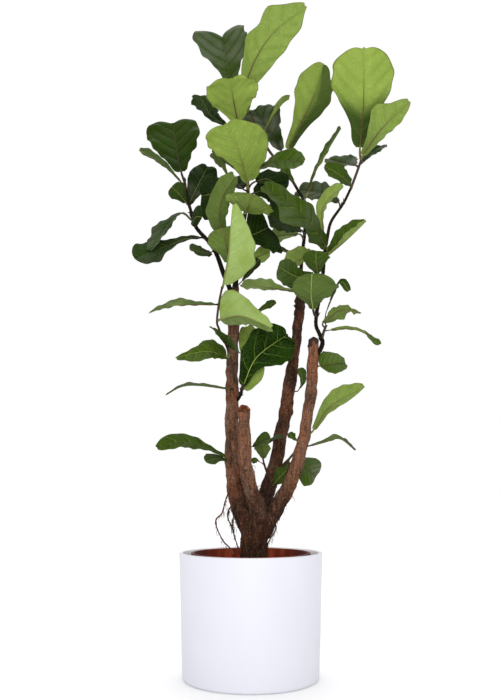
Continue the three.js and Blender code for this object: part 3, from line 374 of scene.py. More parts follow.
class Shape:
    """Vertices in mm with named values, and faces with a material index and corner coordinates."""

    def __init__(self):
        self.vertices, self.faces, self.slots = [], [], []
        self.corners = {"veins": [], "flat": []}
        self.values = {"tone": [], "sheen": [], "vein": []}
        self.count = 0

    def add(self, vertices, faces, slot=0, tone=0.5, sheen=0.0, vein=0.5, veins=None, flat=None):
        self.vertices.append(np.asarray(vertices, float))
        for key, value in (("tone", tone), ("sheen", sheen), ("vein", vein)):
            self.values[key].append(np.broadcast_to(np.asarray(value, float), len(vertices)))
        self.faces += [tuple(i + self.count for i in face) for face in faces]
        self.slots += slot if isinstance(slot, list) else [slot] * len(faces)
        blank = [[(0.0, 0.0)] * len(face) for face in faces]
        self.corners["veins"] += veins or blank
        self.corners["flat"] += flat or blank
        self.count += len(vertices)

    def make(self, name, materials):
        mesh = bpy.data.meshes.new(name)
        mesh.from_pydata((np.vstack(self.vertices) * MM).tolist(), [], self.faces)
        for material in materials:
            mesh.materials.append(material)
        mesh.polygons.foreach_set("material_index", self.slots)
        mesh.polygons.foreach_set("use_smooth", [True] * len(self.faces))
        for key, corners in self.corners.items():
            layer = mesh.uv_layers.new(name=key)
            layer.data.foreach_set("uv", np.array([uv for face in corners for uv in face]).ravel())
        set_values(mesh, {key: np.concatenate(values) for key, values in self.values.items()})
        mesh.validate()
        return add_object(name, mesh)


def circle(sides):
    """Points round a circle of radius 1."""
    angles = 2 * math.pi * np.arange(sides) / sides
    return np.stack([np.cos(angles), np.sin(angles)], 1)


def bands(last, sides):
    """Faces between each two neighbours of a row of rings, of which the last begins at that vertex."""
    faces = []
    for low in range(0, last, sides):
        for k in range(sides):
            after = (k + 1) % sides
            faces.append((low + k, low + after, low + sides + after, low + sides + k))
    return faces


def tube(shape, rows, sides, slot=0, tone=0.5):
    """A round tube with closed ends through rows of [x, y, z, radius]."""
    rows = np.asarray(rows, float)
    alongs = unit(np.gradient(rows[:, :3], axis=0))
    across = np.array([1.0, 0, 0])
    rings = []
    for row, along in zip(rows, alongs):
        across = unit(across - across.dot(along) * along)
        rings.append(row[:3] + row[3] * circle(sides) @ [across, np.cross(along, across)])
    last = (len(rows) - 1) * sides
    ends = [tuple(range(sides - 1, -1, -1)), tuple(range(last, last + sides))]
    shape.add(np.vstack(rings), bands(last, sides) + ends, slot, tone)


def lathe(shape, profile, sides, tones=1.0):
    """A turned body from a profile of [radius, z], with a tone each, that starts and ends on the axis."""
    middle = profile[1:-1]
    vertices = [np.c_[circle(sides) * r, np.full(sides, z)] for r, z in middle]
    vertices.append([[0, 0, profile[0][1]], [0, 0, profile[-1][1]]])
    first = len(middle) * sides
    last = first - sides
    faces = bands(last, sides)
    for k in range(sides):
        after = (k + 1) % sides
        faces += [(first, after, k), (first + 1, last + k, last + after)]
    tones = np.broadcast_to(tones, len(profile))
    shape.add(np.vstack(vertices), faces, tone=np.r_[np.repeat(tones[1:-1], sides), tones[0], tones[-1]])


def rounded(corners, radius, steps=6):
    """A profile with each inner corner turned into an arc of that radius, where there is room."""
    corners = np.array(corners, float)
    result = [corners[0]]
    for before, corner, after in zip(corners, corners[1:], corners[2:]):
        size = min(radius, 0.45 * np.linalg.norm(before - corner), 0.45 * np.linalg.norm(after - corner))
        start = corner + size * unit(before - corner)
        end = corner + size * unit(after - corner)
        for t in np.linspace(0, 1, steps):
            result.append((1 - t) ** 2 * start + 2 * t * (1 - t) * corner + t ** 2 * end)
    return np.array(result + [corners[-1]])


# ---- Materials ----
class Wire:
    """A value in a material's node tree, which can be worked with like a number."""

    def __init__(self, nodes, socket):
        self.nodes, self.socket = nodes, socket

    def __add__(self, other):
        return self.nodes.math("ADD", self, other)

    def __sub__(self, other):
        return self.nodes.math("SUBTRACT", self, other)

    def __rsub__(self, other):
        return self.nodes.math("SUBTRACT", other, self)

    def __mul__(self, other):
        return self.nodes.math("MULTIPLY", self, other)

    def __abs__(self):
        return self.nodes.math("ABSOLUTE", self)

    def ramp(self, low, high, out_low=0.0, out_high=1.0):
        """A smooth step from out_low, where the value is low, to out_high, where it is high."""
        values = dict(enumerate((self, low, high, out_low, out_high)))
        return self.nodes.add("MapRange", values, interpolation_type="SMOOTHSTEP")


class Nodes:
    """A short way to write a material's node tree."""

    MIX_FACTOR, MIX_A, MIX_B, MIX_RESULT = 0, 6, 7, 2

    def __init__(self, name):
        self.material = bpy.data.materials.new(name)
        self.material.use_nodes = True
        self.tree = self.material.node_tree
        self.shader = self.tree.nodes["Principled BSDF"]

    def fill(self, node, values):
        """Links or sets a node's inputs, which are given by name or number."""
        for key, value in values.items():
            socket = node.inputs[key]
            if isinstance(value, Wire):
                self.tree.links.new(value.socket, socket)
            else:
                socket.default_value = (*value, 1.0) if socket.type == "RGBA" else value

    def add(self, kind, values, output=0, **settings):
        node = self.tree.nodes.new("ShaderNode" + kind)
        for key, value in settings.items():
            setattr(node, key, value)
        self.fill(node, values)
        return Wire(self, node.outputs[output])

    def math(self, operation, *values):
        return self.add("Math", dict(enumerate(values)), operation=operation)

    def position(self, *scale):
        """Where a point is on the object, in metres, stretched by a scale in x, y and z."""
        where = self.add("TexCoord", {}, "Object")
        return self.add("Mapping", {"Vector": where, "Scale": scale}) if scale else where

    def flat(self, name):
        """Where a point is on its leaf, by one of the leaf's two sets of flat coordinates."""
        return self.add("UVMap", {}, uv_map=name)

    def split(self, vector):
        node = self.add("SeparateXYZ", {0: vector}).socket.node
        return [Wire(self, socket) for socket in node.outputs]

    def attribute(self, name):
        return self.add("Attribute", {}, "Fac", attribute_name=name)

    def noise(self, vector, scale, detail=3.0, roughness=0.5):
        values = dict(Vector=vector, Scale=scale, Detail=detail, Roughness=roughness)
        return self.add("TexNoise", values, "Fac")

    def cells(self, vector, scale, feature="DISTANCE_TO_EDGE"):
        return self.add("TexVoronoi", dict(Vector=vector, Scale=scale), "Distance", feature=feature)

    def mix(self, factor, a, b):
        values = {self.MIX_FACTOR: factor, self.MIX_A: a, self.MIX_B: b}
        return self.add("Mix", values, self.MIX_RESULT, data_type="RGBA")

    def layered(self, colour, *layers):
        """A colour with other colours laid on it, each by its mask."""
        for mask, layer in layers:
            colour = self.mix(mask, colour, layer)
        return colour

    def bump(self, height, distance, strength=1.0):
        values = dict(Height=height, Distance=distance, Strength=strength)
        self.fill(self.shader, {"Normal": self.add("Bump", values)})

    def finish(self, colour, roughness, gloss, glow=0.0):
        values = {"Base Color": colour, "Roughness": roughness, "Specular IOR Level": gloss}
        self.fill(self.shader, {**values, "Emission Color": (1.0, 1.0, 1.0), "Emission Strength": glow})
        return self.material


FLAT_SPAN = 400.0    # the flat coordinate of a leaf's corner is its place in mm over this span
VEIN_STEP = 30.0     # mm along the midrib between two side veins of a typical leaf
NET_SIZE, FINE_NET_SIZE = 9.0, 3.2    # mm across the meshes of the veins' net
VEIN_RISE, VEIN_BEND = 0.72, 0.006    # how side veins climb towards the tip: per mm out, per mm squared


def vein_masks(n):
    """Masks of a leaf's midrib, side veins, coarse and fine net and margin, its length in mm, and masks
    of the skin that puffs up between the side veins and of the side of it where shade is painted."""
    flat = n.flat("flat")
    across, along, _ = n.split(flat)
    x, length = abs(across) * FLAT_SPAN, along * FLAT_SPAN
    side, row, _ = n.split(n.flat("veins"))
    reach = abs(side)
    phase = n.math("FRACT", row + (n.noise(flat, 22.0) - 0.5) * 0.34)
    distance = (0.5 - abs(phase - 0.5)) * VEIN_STEP
    thickness = reach.ramp(0.0, 1.0, 1.3, 0.5)
    laterals = distance.ramp(thickness * 0.45, thickness, 1.0, 0.0)
    rib_width = length.ramp(0.0, 220.0, 1.7, 0.6)
    midrib = x.ramp(rib_width * 0.55, rib_width, 1.0, 0.0)
    net = n.cells(flat, FLAT_SPAN / NET_SIZE).ramp(0.02, 0.09, 1.0, 0.0)
    fine_net = n.cells(flat, FLAT_SPAN / FINE_NET_SIZE).ramp(0.03, 0.12, 1.0, 0.0)
    margin = reach.ramp(0.955, 0.99)
    puff = distance.ramp(0.5, 9.0) * x.ramp(1.5, 9.0)
    # painted shade on the skin just past each side vein, fading out towards the margin
    painted_lee_shade = phase.ramp(0.02, 0.45, 1.0, 0.0) * reach.ramp(1.0, 0.7)
    return midrib, laterals, net, fine_net, margin, length, puff, painted_lee_shade


def leaf_upper():
    n = Nodes("leaf_upper")
    midrib, laterals, net, fine_net, margin, length, puff, painted_lee_shade = vein_masks(n)
    where, age, plain = n.position(), n.attribute("tone"), n.attribute("vein")
    tone = age.ramp(0.0, 1.0)
    patches = n.noise(where, 16.0).ramp(0.35, 0.7) * age.ramp(-0.3, 0.1)
    # painted sheen: pale patches, strongest in the middle of each puff, in place of the light's shine
    painted_sheen = n.attribute("sheen") * puff.ramp(0.0, 1.0, 0.5, 0.85) * n.noise(where, 13.0, 1.0).ramp(0.3, 0.7)
    clear, faint = laterals * plain.ramp(0.0, 1.0, 0.25, 1.0), net * plain.ramp(0.3, 1.0, 0.06, 0.2)
    brown = n.mix(length.ramp(10.0, 130.0), (0.050, 0.022, 0.016), (0.070, 0.060, 0.025))
    colour = n.layered(
        n.mix(tone, (0.0040, 0.0125, 0.0008), (0.080, 0.135, 0.012)),
        (patches * 0.4, (0.018, 0.056, 0.001)),
        (painted_sheen, (0.120, 0.130, 0.095)),
        # painted shade on one side of each puff
        (painted_lee_shade * 0.35, (0.0045, 0.0130, 0.0008)),
        (n.math("MAXIMUM", clear, faint), n.mix(tone, (0.075, 0.130, 0.018), (0.230, 0.300, 0.060))),
        (margin * 0.45, (0.060, 0.060, 0.018)),
        (midrib * 0.9, n.mix(plain.ramp(0.3, 0.7), brown, (0.200, 0.270, 0.050))))
    n.bump(fine_net * -0.15 - laterals * 0.7 - net * 0.3, 0.0006, 0.8)
    return n.finish(colour, n.noise(where, 55.0, 4.0).ramp(0.3, 0.7, 0.34, 0.50), 0.025)


def leaf_under():
    n = Nodes("leaf_under")
    midrib, laterals, net, fine_net, margin, length, puff, painted_lee_shade = vein_masks(n)
    where, plain = n.position(), n.attribute("vein")
    tone = n.attribute("tone").ramp(0.0, 1.0)
    young = tone.ramp(0.0, 0.5)
    spots = n.noise(n.flat("flat"), 34.0, 5.0, 0.65).ramp(0.52, 0.7)
    # painted sheen: paler patches in place of the light's shine
    painted_sheen = n.attribute("sheen") * n.noise(where, 20.0, 2.0).ramp(0.3, 0.6, 0.35, 1.0)
    clear, faint = laterals * plain.ramp(0.0, 1.0, 0.15, 0.95), net * plain.ramp(0.0, 1.0, 0.08, 0.16)
    brown = n.mix(length.ramp(40.0, 200.0), (0.120, 0.060, 0.024), (0.270, 0.290, 0.080))
    colour = n.layered(
        n.mix(tone, (0.030, 0.056, 0.008), (0.215, 0.300, 0.048)),
        (n.noise(where, 14.0).ramp(0.35, 0.65) * young * 0.45, (0.125, 0.195, 0.022)),
        # paler skin in the middle of each puff: partly the leaf's own colour between veins, partly painted
        # light
        (puff * young * 0.22, (0.240, 0.320, 0.070)),
        (spots * young * 0.35, (0.300, 0.385, 0.095)),
        # painted shade on one side of each puff
        (painted_lee_shade * 0.12, (0.060, 0.105, 0.014)),
        (painted_sheen * 0.6, (0.290, 0.400, 0.165)),
        (n.math("MAXIMUM", clear, faint), n.mix(tone, (0.120, 0.165, 0.040), (0.400, 0.480, 0.150))),
        (margin * 0.6, (0.085, 0.072, 0.020)),
        (midrib * 0.9, n.mix(plain.ramp(0.5, 0.9), brown, (0.330, 0.400, 0.110))))
    n.bump(fine_net * 0.15 + laterals + net * 0.4, 0.0006, 0.9)
    return n.finish(colour, 0.62, 0.06)


def petiole_material():
    """Tone 0 is a dark bud or node, 0.5 the brown foot of a midrib, and 1 a young green stalk."""
    n = Nodes("petiole")
    spots, tone = n.noise(n.position(), 90.0), n.attribute("tone")
    colour = n.layered(
        n.mix(tone.ramp(0.0, 0.5), (0.007, 0.004, 0.003), (0.090, 0.048, 0.019)),
        (tone.ramp(0.5, 1.0), (0.250, 0.285, 0.060)),
        (spots.ramp(0.5, 0.75) * 0.35, (0.060, 0.028, 0.014)))
    n.bump(spots, 0.0005, 0.5)
    return n.finish(colour, 0.5, 0.2)


def bark_material():
    """Tone says how light the bark is, and cut how much of a sawn end shows."""
    n = Nodes("bark")
    tone, cut = n.attribute("tone"), n.attribute("cut")
    fibres = n.noise(n.position(1.0, 1.0, 0.10), 260.0, 6.0, 0.6)
    rings = n.noise(n.position(0.18, 0.18, 1.0), 240.0, 4.0, 0.6)
    blotch = n.noise(n.position(1.0, 1.0, 0.45), 30.0, 5.0, 0.62)
    warm = n.noise(n.position(1.0, 1.0, 0.6), 17.0)
    pores = n.cells(n.position(1.0, 1.0, 1.6), 210.0, "F1")
    streaks = n.noise(n.position(1.0, 1.0, 0.22), 150.0, 6.0, 0.72)
    grain = n.noise(n.position(1.0, 1.0, 0.7), 430.0, 2.0)
    colour = n.layered(
        n.mix(tone.ramp(0.0, 1.0), (0.030, 0.012, 0.007), (0.225, 0.106, 0.062)),
        (warm.ramp(0.44, 0.66) * tone.ramp(0.0, 0.3, 0.2, 0.55), (0.250, 0.078, 0.032)),
        (streaks.ramp(0.49, 0.41) * tone.ramp(0.2, 0.9, 0.85, 0.5), (0.019, 0.009, 0.006)),
        (streaks.ramp(0.55, 0.68) * tone.ramp(0.0, 0.8, 0.35, 0.7), (0.310, 0.175, 0.125)),
        (blotch.ramp(0.5, 0.75) * tone.ramp(0.0, 0.8, 0.1, 0.75), (0.270, 0.195, 0.150)),
        (blotch.ramp(0.47, 0.28) * 0.7, (0.026, 0.013, 0.008)),
        (rings.ramp(0.53, 0.68) * 0.6, (0.028, 0.014, 0.009)),
        (fibres.ramp(0.54, 0.68) * 0.55, (0.022, 0.011, 0.007)),
        (grain.ramp(0.56, 0.70) * 0.6, (0.020, 0.010, 0.006)),
        (grain.ramp(0.42, 0.30) * tone.ramp(0.0, 0.8, 0.25, 0.6), (0.330, 0.210, 0.140)),
        (pores.ramp(0.24, 0.12) * 0.35, (0.330, 0.240, 0.170)),
        (cut.ramp(0.2, 0.45), (0.045, 0.026, 0.019)),
        (cut.ramp(0.7, 0.95), n.mix(streaks.ramp(0.44, 0.54), (0.430, 0.120, 0.030), (0.075, 0.028, 0.015))))
    n.bump(fibres + rings * 0.7 + streaks * 2.0, 0.004)
    return n.finish(colour, 0.85, 0.06)


def young_bark_material():
    n = Nodes("young_bark")
    rings, blotch = n.noise(n.position(0.3, 0.3, 1.0), 260.0, 4.0), n.noise(n.position(), 60.0, 4.0)
    colour = n.layered(
        n.mix(n.attribute("tone").ramp(0.2, 1.0), (0.007, 0.005, 0.003), (0.015, 0.014, 0.005)),
        (blotch.ramp(0.45, 0.7) * 0.4, (0.026, 0.015, 0.010)),
        (rings.ramp(0.5, 0.7) * 0.6, (0.007, 0.004, 0.003)))
    n.bump(rings + blotch, 0.001, 0.7)
    return n.finish(colour, 0.7, 0.04)


def planter_material():
    """Smooth white, with tone 1 outside and 0 on the inside, which gets painted light to make it brighter.
    """
    n = Nodes("planter")
    fleck, swell = n.noise(n.position(), 240.0, 4.0), n.noise(n.position(), 9.0, 2.0)
    outside = n.mix(swell.ramp(0.3, 0.7), (0.590, 0.595, 0.655), (0.600, 0.605, 0.660))
    n.bump(fleck * 0.35 + swell, 0.0004, 0.25)
    # the inside wall is painted brighter, standing in for light inside the pot
    colour = n.mix(n.attribute("tone"), (0.900, 0.890, 0.900), outside)
    return n.finish(colour, fleck.ramp(0.3, 0.7, 0.38, 0.48), 0.4)


def liner_material():
    """Red-brown plastic, with painted shade towards its left and right."""
    n = Nodes("nursery_pot")
    streak = n.noise(n.position(1.0, 1.0, 0.25), 60.0, 5.0)
    colour = n.mix(streak.ramp(0.3, 0.7), (0.150, 0.020, 0.007), (0.340, 0.060, 0.022))
    # painted shade, darker towards the left and right
    colour = n.mix(abs(n.split(n.position())[0]).ramp(0.04, 0.13) * 0.85, colour, (0.050, 0.005, 0.0015))
    n.bump(streak, 0.0004, 0.5)
    return n.finish(colour, streak.ramp(0.3, 0.7, 0.4, 0.55), 0.08)


def soil_material():
    """Dark crumbs, with pale chips where tone is near 1."""
    n = Nodes("soil")
    clod = n.noise(n.position(), 70.0, 6.0)
    colour = n.mix(clod.ramp(0.3, 0.7), (0.014, 0.009, 0.006), (0.060, 0.036, 0.022))
    colour = n.mix(n.attribute("tone").ramp(0.55, 1.0), colour, (0.420, 0.380, 0.330))
    n.bump(clod - n.cells(n.position(), 260.0, "F1"), 0.002, 0.8)
    return n.finish(colour, 0.95, 0.15)


def floor_material():
    """White paper with painted light and shade: greyer under the pot, and brighter further
    away where the lamps' light falls off.
    """
    n = Nodes("floor_paper")
    x, y, _ = n.split(n.position())
    spread = n.math("SQRT", x * x + y * y)
    # painted shade near the pot, painted light further away
    return n.finish(n.mix(spread.ramp(0.7, 1.3), (0.80, 0.80, 0.80), (1.0, 1.0, 1.0)), 0.9, 0.1, glow=0.1)


# ---- Stems ----
STEMS = {}
for entry in read_table(STEM_TABLE):
    stem_rows = np.array([[*place(u, v, y), r] for u, v, y, r in entry["points"]])
    STEMS[entry["words"][0]] = dict(rows=stem_rows, line=smooth_rows(stem_rows, 12), **entry["options"])
THICK_STEMS = {name: stem for name, stem in STEMS.items() if stem["rows"][:, 3].max() > THICK}


def nearest_on_stem(name, seen):
    """The row of a stem's line that is seen nearest to a place."""
    line = STEMS[name]["line"]
    cos, sin = math.cos(EYE_TILT), math.sin(EYE_TILT)
    back, rise = line[:, 1] + EYE_BACK, line[:, 2] - EYE_HEIGHT
    depth = back * cos + rise * sin
    across = EYE_ACROSS + EYE_FOCAL * line[:, 0] / depth
    down = EYE_DOWN - EYE_FOCAL * (rise * cos - back * sin) / depth
    return line[np.argmin((across - seen[0]) ** 2 + (down - seen[1]) ** 2)]


def stem_end(stem):
    """The last row of a stem, and the direction in which it ends."""
    end, before = stem["rows"][-1], stem["rows"][-2]
    return end, unit(end[:3] - before[:3])


# ---- Leaf form, the same as in the part ----
HEART = np.array([[0, 0], [-0.02, 0.13], [0.03, 0.27], [0.15, 0.38], [0.30, 0.57], [0.46, 0.80],
                  [0.62, 0.96], [0.77, 1.0], [0.90, 0.86], [0.99, 0.56], [1.01, 0.28], [0.97, 0]])
FIDDLE = np.array([[0, 0], [0, 0.10], [0.05, 0.19], [0.18, 0.24], [0.32, 0.36], [0.46, 0.62],
                   [0.60, 0.88], [0.74, 1.0], [0.87, 0.90], [0.96, 0.62], [1.0, 0.30], [0.985, 0]])
TYPICAL_HALF_WIDTH = 0.3
VEIN_SLANT, VEIN_CURVE, POINT_POWER = 0.085, 1.25, 1.3
MIDRIB_STEPS = 33
USUAL_SHEEN, USUAL_DARK_BASE, USUAL_VEIN = 0.12, 0.12, 0.5


def half_outline(form):
    """How far along and out a leaf's edge is, against the share of the edge that has been travelled."""
    rows = HEART * (1 - form["shape"]) + FIDDLE * form["shape"]
    outer = np.maximum(2 * HEART[:, 0] - 1, 0)
    rows[:, 0] += form["lobe"] * outer * HEART[:, 1] - form["low"] * np.sin(math.pi * HEART[:, 0])
    rows[:, 1] *= 1 - form["point"] * outer ** POINT_POWER
    curve = smooth_rows(rows, 12)
    curve[:, 1] = np.maximum(curve[:, 1], 0)
    travelled = lengths_along(curve * [1, TYPICAL_HALF_WIDTH])
    return travelled / travelled[-1], curve[:, 0], curve[:, 1]


def turn(vectors, axes, angles):
    """Each vector turned about its axis by its angle."""
    cos, sin = np.cos(angles)[:, None], np.sin(angles)[:, None]
    dots = np.sum(vectors * axes, axis=1, keepdims=True)
    return vectors * cos + np.cross(axes, vectors) * sin + axes * dots * (1 - cos)


def flatten(vector, along):
    """The direction of a vector once it is laid square to another."""
    return unit(vector - vector.dot(along) * along)


class Leaf:
    """One leaf: its midrib, outline and form, worked out from its entry in the table."""

    def __init__(self, entry):
        form = {**LEAF_DEFAULTS, **entry["options"]}
        self.form = form
        self.name, stem = entry["words"]
        self.node = STEMS[stem].get("node", self.name)
        leaves, *midrib_places = entry["points"]
        self.root = nearest_on_stem(stem, leaves)
        dense = smooth_rows([place(u, v, self.root[1] + depth) for u, v, depth in midrib_places], 16)
        travelled = lengths_along(dense)
        self.length = travelled[-1]
        at = np.linspace(0, self.length, MIDRIB_STEPS)
        self.midrib = np.stack([np.interp(at, travelled, dense[:, k]) for k in range(3)], 1)
        ends = np.vstack([self.midrib[0], self.midrib, self.midrib[-1]])
        self.alongs = unit(ends[2:] - ends[:-2])
        self.normals = self.work_out_normals()
        self.outline = half_outline(form)
        self.widths = form["other"], form["one"]
        number = self.name[-2:]
        tone = LEAF_TONE[number]
        self.tones = tone if isinstance(tone, list) else [tone, tone]
        self.sheen = LEAF_SHEEN.get(number, USUAL_SHEEN)
        self.dark_base = LEAF_DARK_BASE.get(number, USUAL_DARK_BASE)
        self.vein = LEAF_VEIN.get(number, USUAL_VEIN)
        draw = seeded_draw(self.name)
        self.starts = np.array([next(draw), next(draw)])
        self.waves = np.array([1.6 + next(draw), 1.6 + next(draw)])

    def work_out_normals(self):
        """Square to the midrib all along: towards the eye in its middle, then rolled and twisted."""
        middle = MIDRIB_STEPS // 2
        to_eye = unit(np.array([0, -EYE_BACK, EYE_HEIGHT]) - self.midrib[middle])
        facing = flatten(to_eye, self.alongs[middle])
        upward = np.cross(self.alongs[middle], facing)
        upward = -upward if upward[2] < 0 else upward
        roll = math.radians(self.form["roll"])
        normals = np.zeros((MIDRIB_STEPS, 3))
        normals[middle] = facing * math.cos(roll) + upward * math.sin(roll)
        for i in range(middle + 1, MIDRIB_STEPS):
            normals[i] = flatten(normals[i - 1], self.alongs[i])
        for i in range(middle - 1, -1, -1):
            normals[i] = flatten(normals[i + 1], self.alongs[i])
        share = np.arange(MIDRIB_STEPS) / (MIDRIB_STEPS - 1) - 0.5
        return turn(normals, self.alongs, math.radians(self.form["twist"]) * share)

    def frames(self, along):
        """Points, directions and normals of the midrib at shares of its length."""
        inside = np.clip(along, 0, 1) * (MIDRIB_STEPS - 1)
        i = np.minimum(inside.astype(int), MIDRIB_STEPS - 2)
        k = (inside - i)[:, None]

        def blend(values):
            return values[i] * (1 - k) + values[i + 1] * k

        direction = unit(blend(self.alongs))
        normal = blend(self.normals)
        normal = unit(normal - np.sum(normal * direction, axis=1, keepdims=True) * direction)
        point = blend(self.midrib) + direction * ((along - np.clip(along, 0, 1)) * self.length)[:, None]
        return point, direction, normal


LEAVES = [Leaf(entry) for entry in read_table(LEAF_TABLE)]

# ---- Fine leaf detail that the part leaves out, in mm ----
MARGIN_RIPPLE = 0.035    # of the blade's half width
FINE_WAVE = 0.55         # of the leaf's own wave
QUILT = 2.4              # by how much the skin puffs up between side veins
CREASE, CREASE_WIDTH = 1.8, 5.0
FULL_WAVE, FULL_QUILT = 32, 50    # the half widths from which a leaf has all of that detail
BLADE_THICKNESS, MARGIN_THICKNESS = 0.8, 0.35
ROW_SPACING, FEWEST_ROWS, MOST_ROWS, COLUMNS = 5.5, 10, 44, 12
STALK_THINNEST, STALK_THICKEST = 1.1, 2.9
STALK_SIDES, TWIG_SIDES = 8, 10
TWIG_TONE, BUD_TONE = 0.2, 0.12
BUD_LENGTH = 13.0
UPPER, UNDER, STALK = 0, 1, 2


def wave(turns):
    return np.sin(2 * math.pi * turns)


def veins_passed(leaf, y, x):
    """How many side veins lie between the base and a place on the blade; it is whole on a vein."""
    step = min(max(leaf.length / 5.0, 15), 44)
    return (y - VEIN_RISE * np.abs(x) - VEIN_BEND * x ** 2) / step + np.where(x > 0, 0.35, 0.0)


def blade_surface(leaf, row, side):
    """Points of a fine blade's middle surface, with their flat coordinates in mm."""
    form = leaf.form
    edge_share, edge_alongs, edge_outs = leaf.outline
    reach = row + VEIN_SLANT * np.sin(math.pi * row)
    out = np.interp(reach, edge_share, edge_outs) * side
    widths = [np.interp(reach, np.linspace(0, 1, len(values)), values) for values in leaf.widths]
    out = out * np.where(side >= 0, widths[1], widths[0])
    along = row + (np.interp(reach, edge_share, edge_alongs) - row) * np.abs(side) ** VEIN_CURVE
    hand = (side >= 0).astype(int)
    starts, waves = leaf.starts[hand], leaf.waves[hand]
    ripple = wave(2.3 * waves * along + 3 * starts) + 0.6 * wave(5.1 * along + 7 * starts)
    out = out * (1 + MARGIN_RIPPLE * ripple * np.abs(side) ** 3)
    half = form["width"] / 2
    x = out * half
    bend = math.radians(form["fold"]) + 0.5 * math.radians(form["curl"]) * np.abs(out)
    lift = np.abs(x) * np.sin(bend) + form["wave"] * out ** 2 * wave(waves * along + starts)
    lift += FINE_WAVE * form["wave"] * min(1, half / FULL_WAVE) * (
        np.abs(side) ** 4 * np.abs(out) ** 0.5 * wave(2.7 * waves * along + 5 * starts))
    size = min(1.0, half / FULL_QUILT)
    vein_row = veins_passed(leaf, along * leaf.length, x)
    quilt = np.abs(np.sin(math.pi * vein_row)) ** 0.8 * (
        np.clip(4 * np.abs(side) * (1 - np.abs(side)), 0, 1) ** 0.7)
    lift += QUILT * size * quilt - CREASE * size * np.exp(-(x / CREASE_WIDTH) ** 2)
    point, direction, normal = leaf.frames(along)
    sideways = np.cross(direction, normal)
    point = point + sideways * (x * np.cos(bend))[:, None] + normal * lift[:, None]
    return point, x, along * leaf.length


def blade_faces(row_count):
    """The triangles of a blade's grid, from its base, vertex 0, to its tip, and the rim round it."""
    across = 2 * COLUMNS + 1

    def at(row, side):
        return 1 + (row - 1) * across + side

    tip = at(row_count, 0)
    triangles = []
    for side in range(across - 1):
        triangles.append((0, at(1, side + 1), at(1, side)))
        for row in range(1, row_count - 1):
            a, b = at(row, side), at(row, side + 1)
            c, d = at(row + 1, side + 1), at(row + 1, side)
            triangles += [(a, b, c), (c, d, a)]
        triangles.append((at(row_count - 1, side), at(row_count - 1, side + 1), tip))
    one_edge = [at(row, across - 1) for row in range(1, row_count)]
    other_edge = [at(row, 0) for row in range(row_count - 1, 0, -1)]
    return triangles, [0, *one_edge, tip, *other_edge]


def add_blade(shape, leaf):
    """A blade with a skin on each side, which meet in a thin rim."""
    row_count = int(np.clip(round(leaf.length / ROW_SPACING), FEWEST_ROWS, MOST_ROWS))
    rows = np.arange(1, row_count) / row_count
    sides = np.arange(-COLUMNS, COLUMNS + 1) / COLUMNS
    grid_row = np.r_[0.0, np.repeat(rows, len(sides)), 1.0]
    grid_side = np.r_[0.0, np.tile(sides, len(rows)), 0.0]
    points, x, y = blade_surface(leaf, grid_row, grid_side)
    triangles, rim = blade_faces(row_count)
    corners = points[np.array(triangles)]
    facing = np.cross(corners[:, 1] - corners[:, 0], corners[:, 2] - corners[:, 0])
    normals = np.zeros_like(points)
    for corner in np.transpose(triangles):
        np.add.at(normals, corner, facing)
    share = np.abs(grid_side) ** 4
    offset = 0.5 * (BLADE_THICKNESS * (1 - share) + MARGIN_THICKNESS * share)[:, None] * unit(normals)
    count = len(points)
    faces = triangles + [tuple(i + count for i in face[::-1]) for face in triangles]
    faces += [(end, start, start + count, end + count) for start, end in zip(rim, rim[1:] + rim[:1])]
    slots = [UPPER] * len(triangles) + [UNDER] * len(triangles) + [UPPER] * len(rim)
    left, right = veins_passed(leaf, y, -np.abs(x)), veins_passed(leaf, y, np.abs(x) + 1e-9)
    flat, veins = [], []
    for face in faces:
        face = [i % count for i in face]
        passed = right if sum(grid_side[i] for i in face) > 0 else left
        flat.append([(x[i] / FLAT_SPAN, y[i] / FLAT_SPAN) for i in face])
        veins.append([(grid_side[i], passed[i]) for i in face])
    one, other = leaf.tones
    tone = other + (one - other) * np.clip(0.5 + 1.5 * grid_side, 0, 1)
    tone = tone - leaf.dark_base * (1 - np.clip((grid_row - 0.12) / 0.4, 0, 1))
    shape.add(np.vstack([points + offset, points - offset]), faces, slots, np.tile(tone, 2),
              leaf.sheen, leaf.vein, veins, flat)


def add_stalk(shape, leaf):
    """The petiole, which runs on under the blade as its raised midrib."""
    thickness = min(max(leaf.form["width"] * 0.019 + 0.7, STALK_THINNEST), STALK_THICKEST)
    root = leaf.root[:3]
    base, direction, _ = (value[0] for value in leaf.frames(np.array([0.0])))
    bend = base - 0.5 * np.linalg.norm(base - root) * direction
    t = np.linspace(0, 1, 9)[:, None]
    stalk = (1 - t) ** 2 * root + 2 * t * (1 - t) * bend + t ** 2 * base
    alongs = np.linspace(0.04, 0.93, 14)
    thin = 0.62 * thickness * (1 - 0.82 * alongs)
    middle = blade_surface(leaf, alongs, np.zeros(len(alongs)))[0]
    under = middle - leaf.frames(alongs)[2] * (0.25 * thin)[:, None]
    rows = np.vstack([np.c_[stalk, thickness * (1.35 - 0.4 * t)], np.c_[under, thin]])
    young = max(leaf.tones)
    green = min(max((young - 0.25) / 0.25, 0), 1)
    petiole = np.interp(t[:, 0], [0, 0.12, 0.3, 1], [0.0, 0.03, 0.06 + 0.6 * green, 0.1 + 0.66 * green])
    rib = np.interp(alongs, [0, 0.35, 0.75, 1], [0.5, 0.45, 0.55 + 0.25 * young, 0.9])
    rib += (0.95 - rib) * np.clip((leaf.vein - 0.5) / 0.3, 0, 1)
    rib += (0.16 - rib) * np.clip((0.25 - leaf.vein) / 0.1, 0, 1) * (young < 0.5)
    tube(shape, rows, STALK_SIDES, STALK, np.repeat(np.r_[petiole, rib], STALK_SIDES))


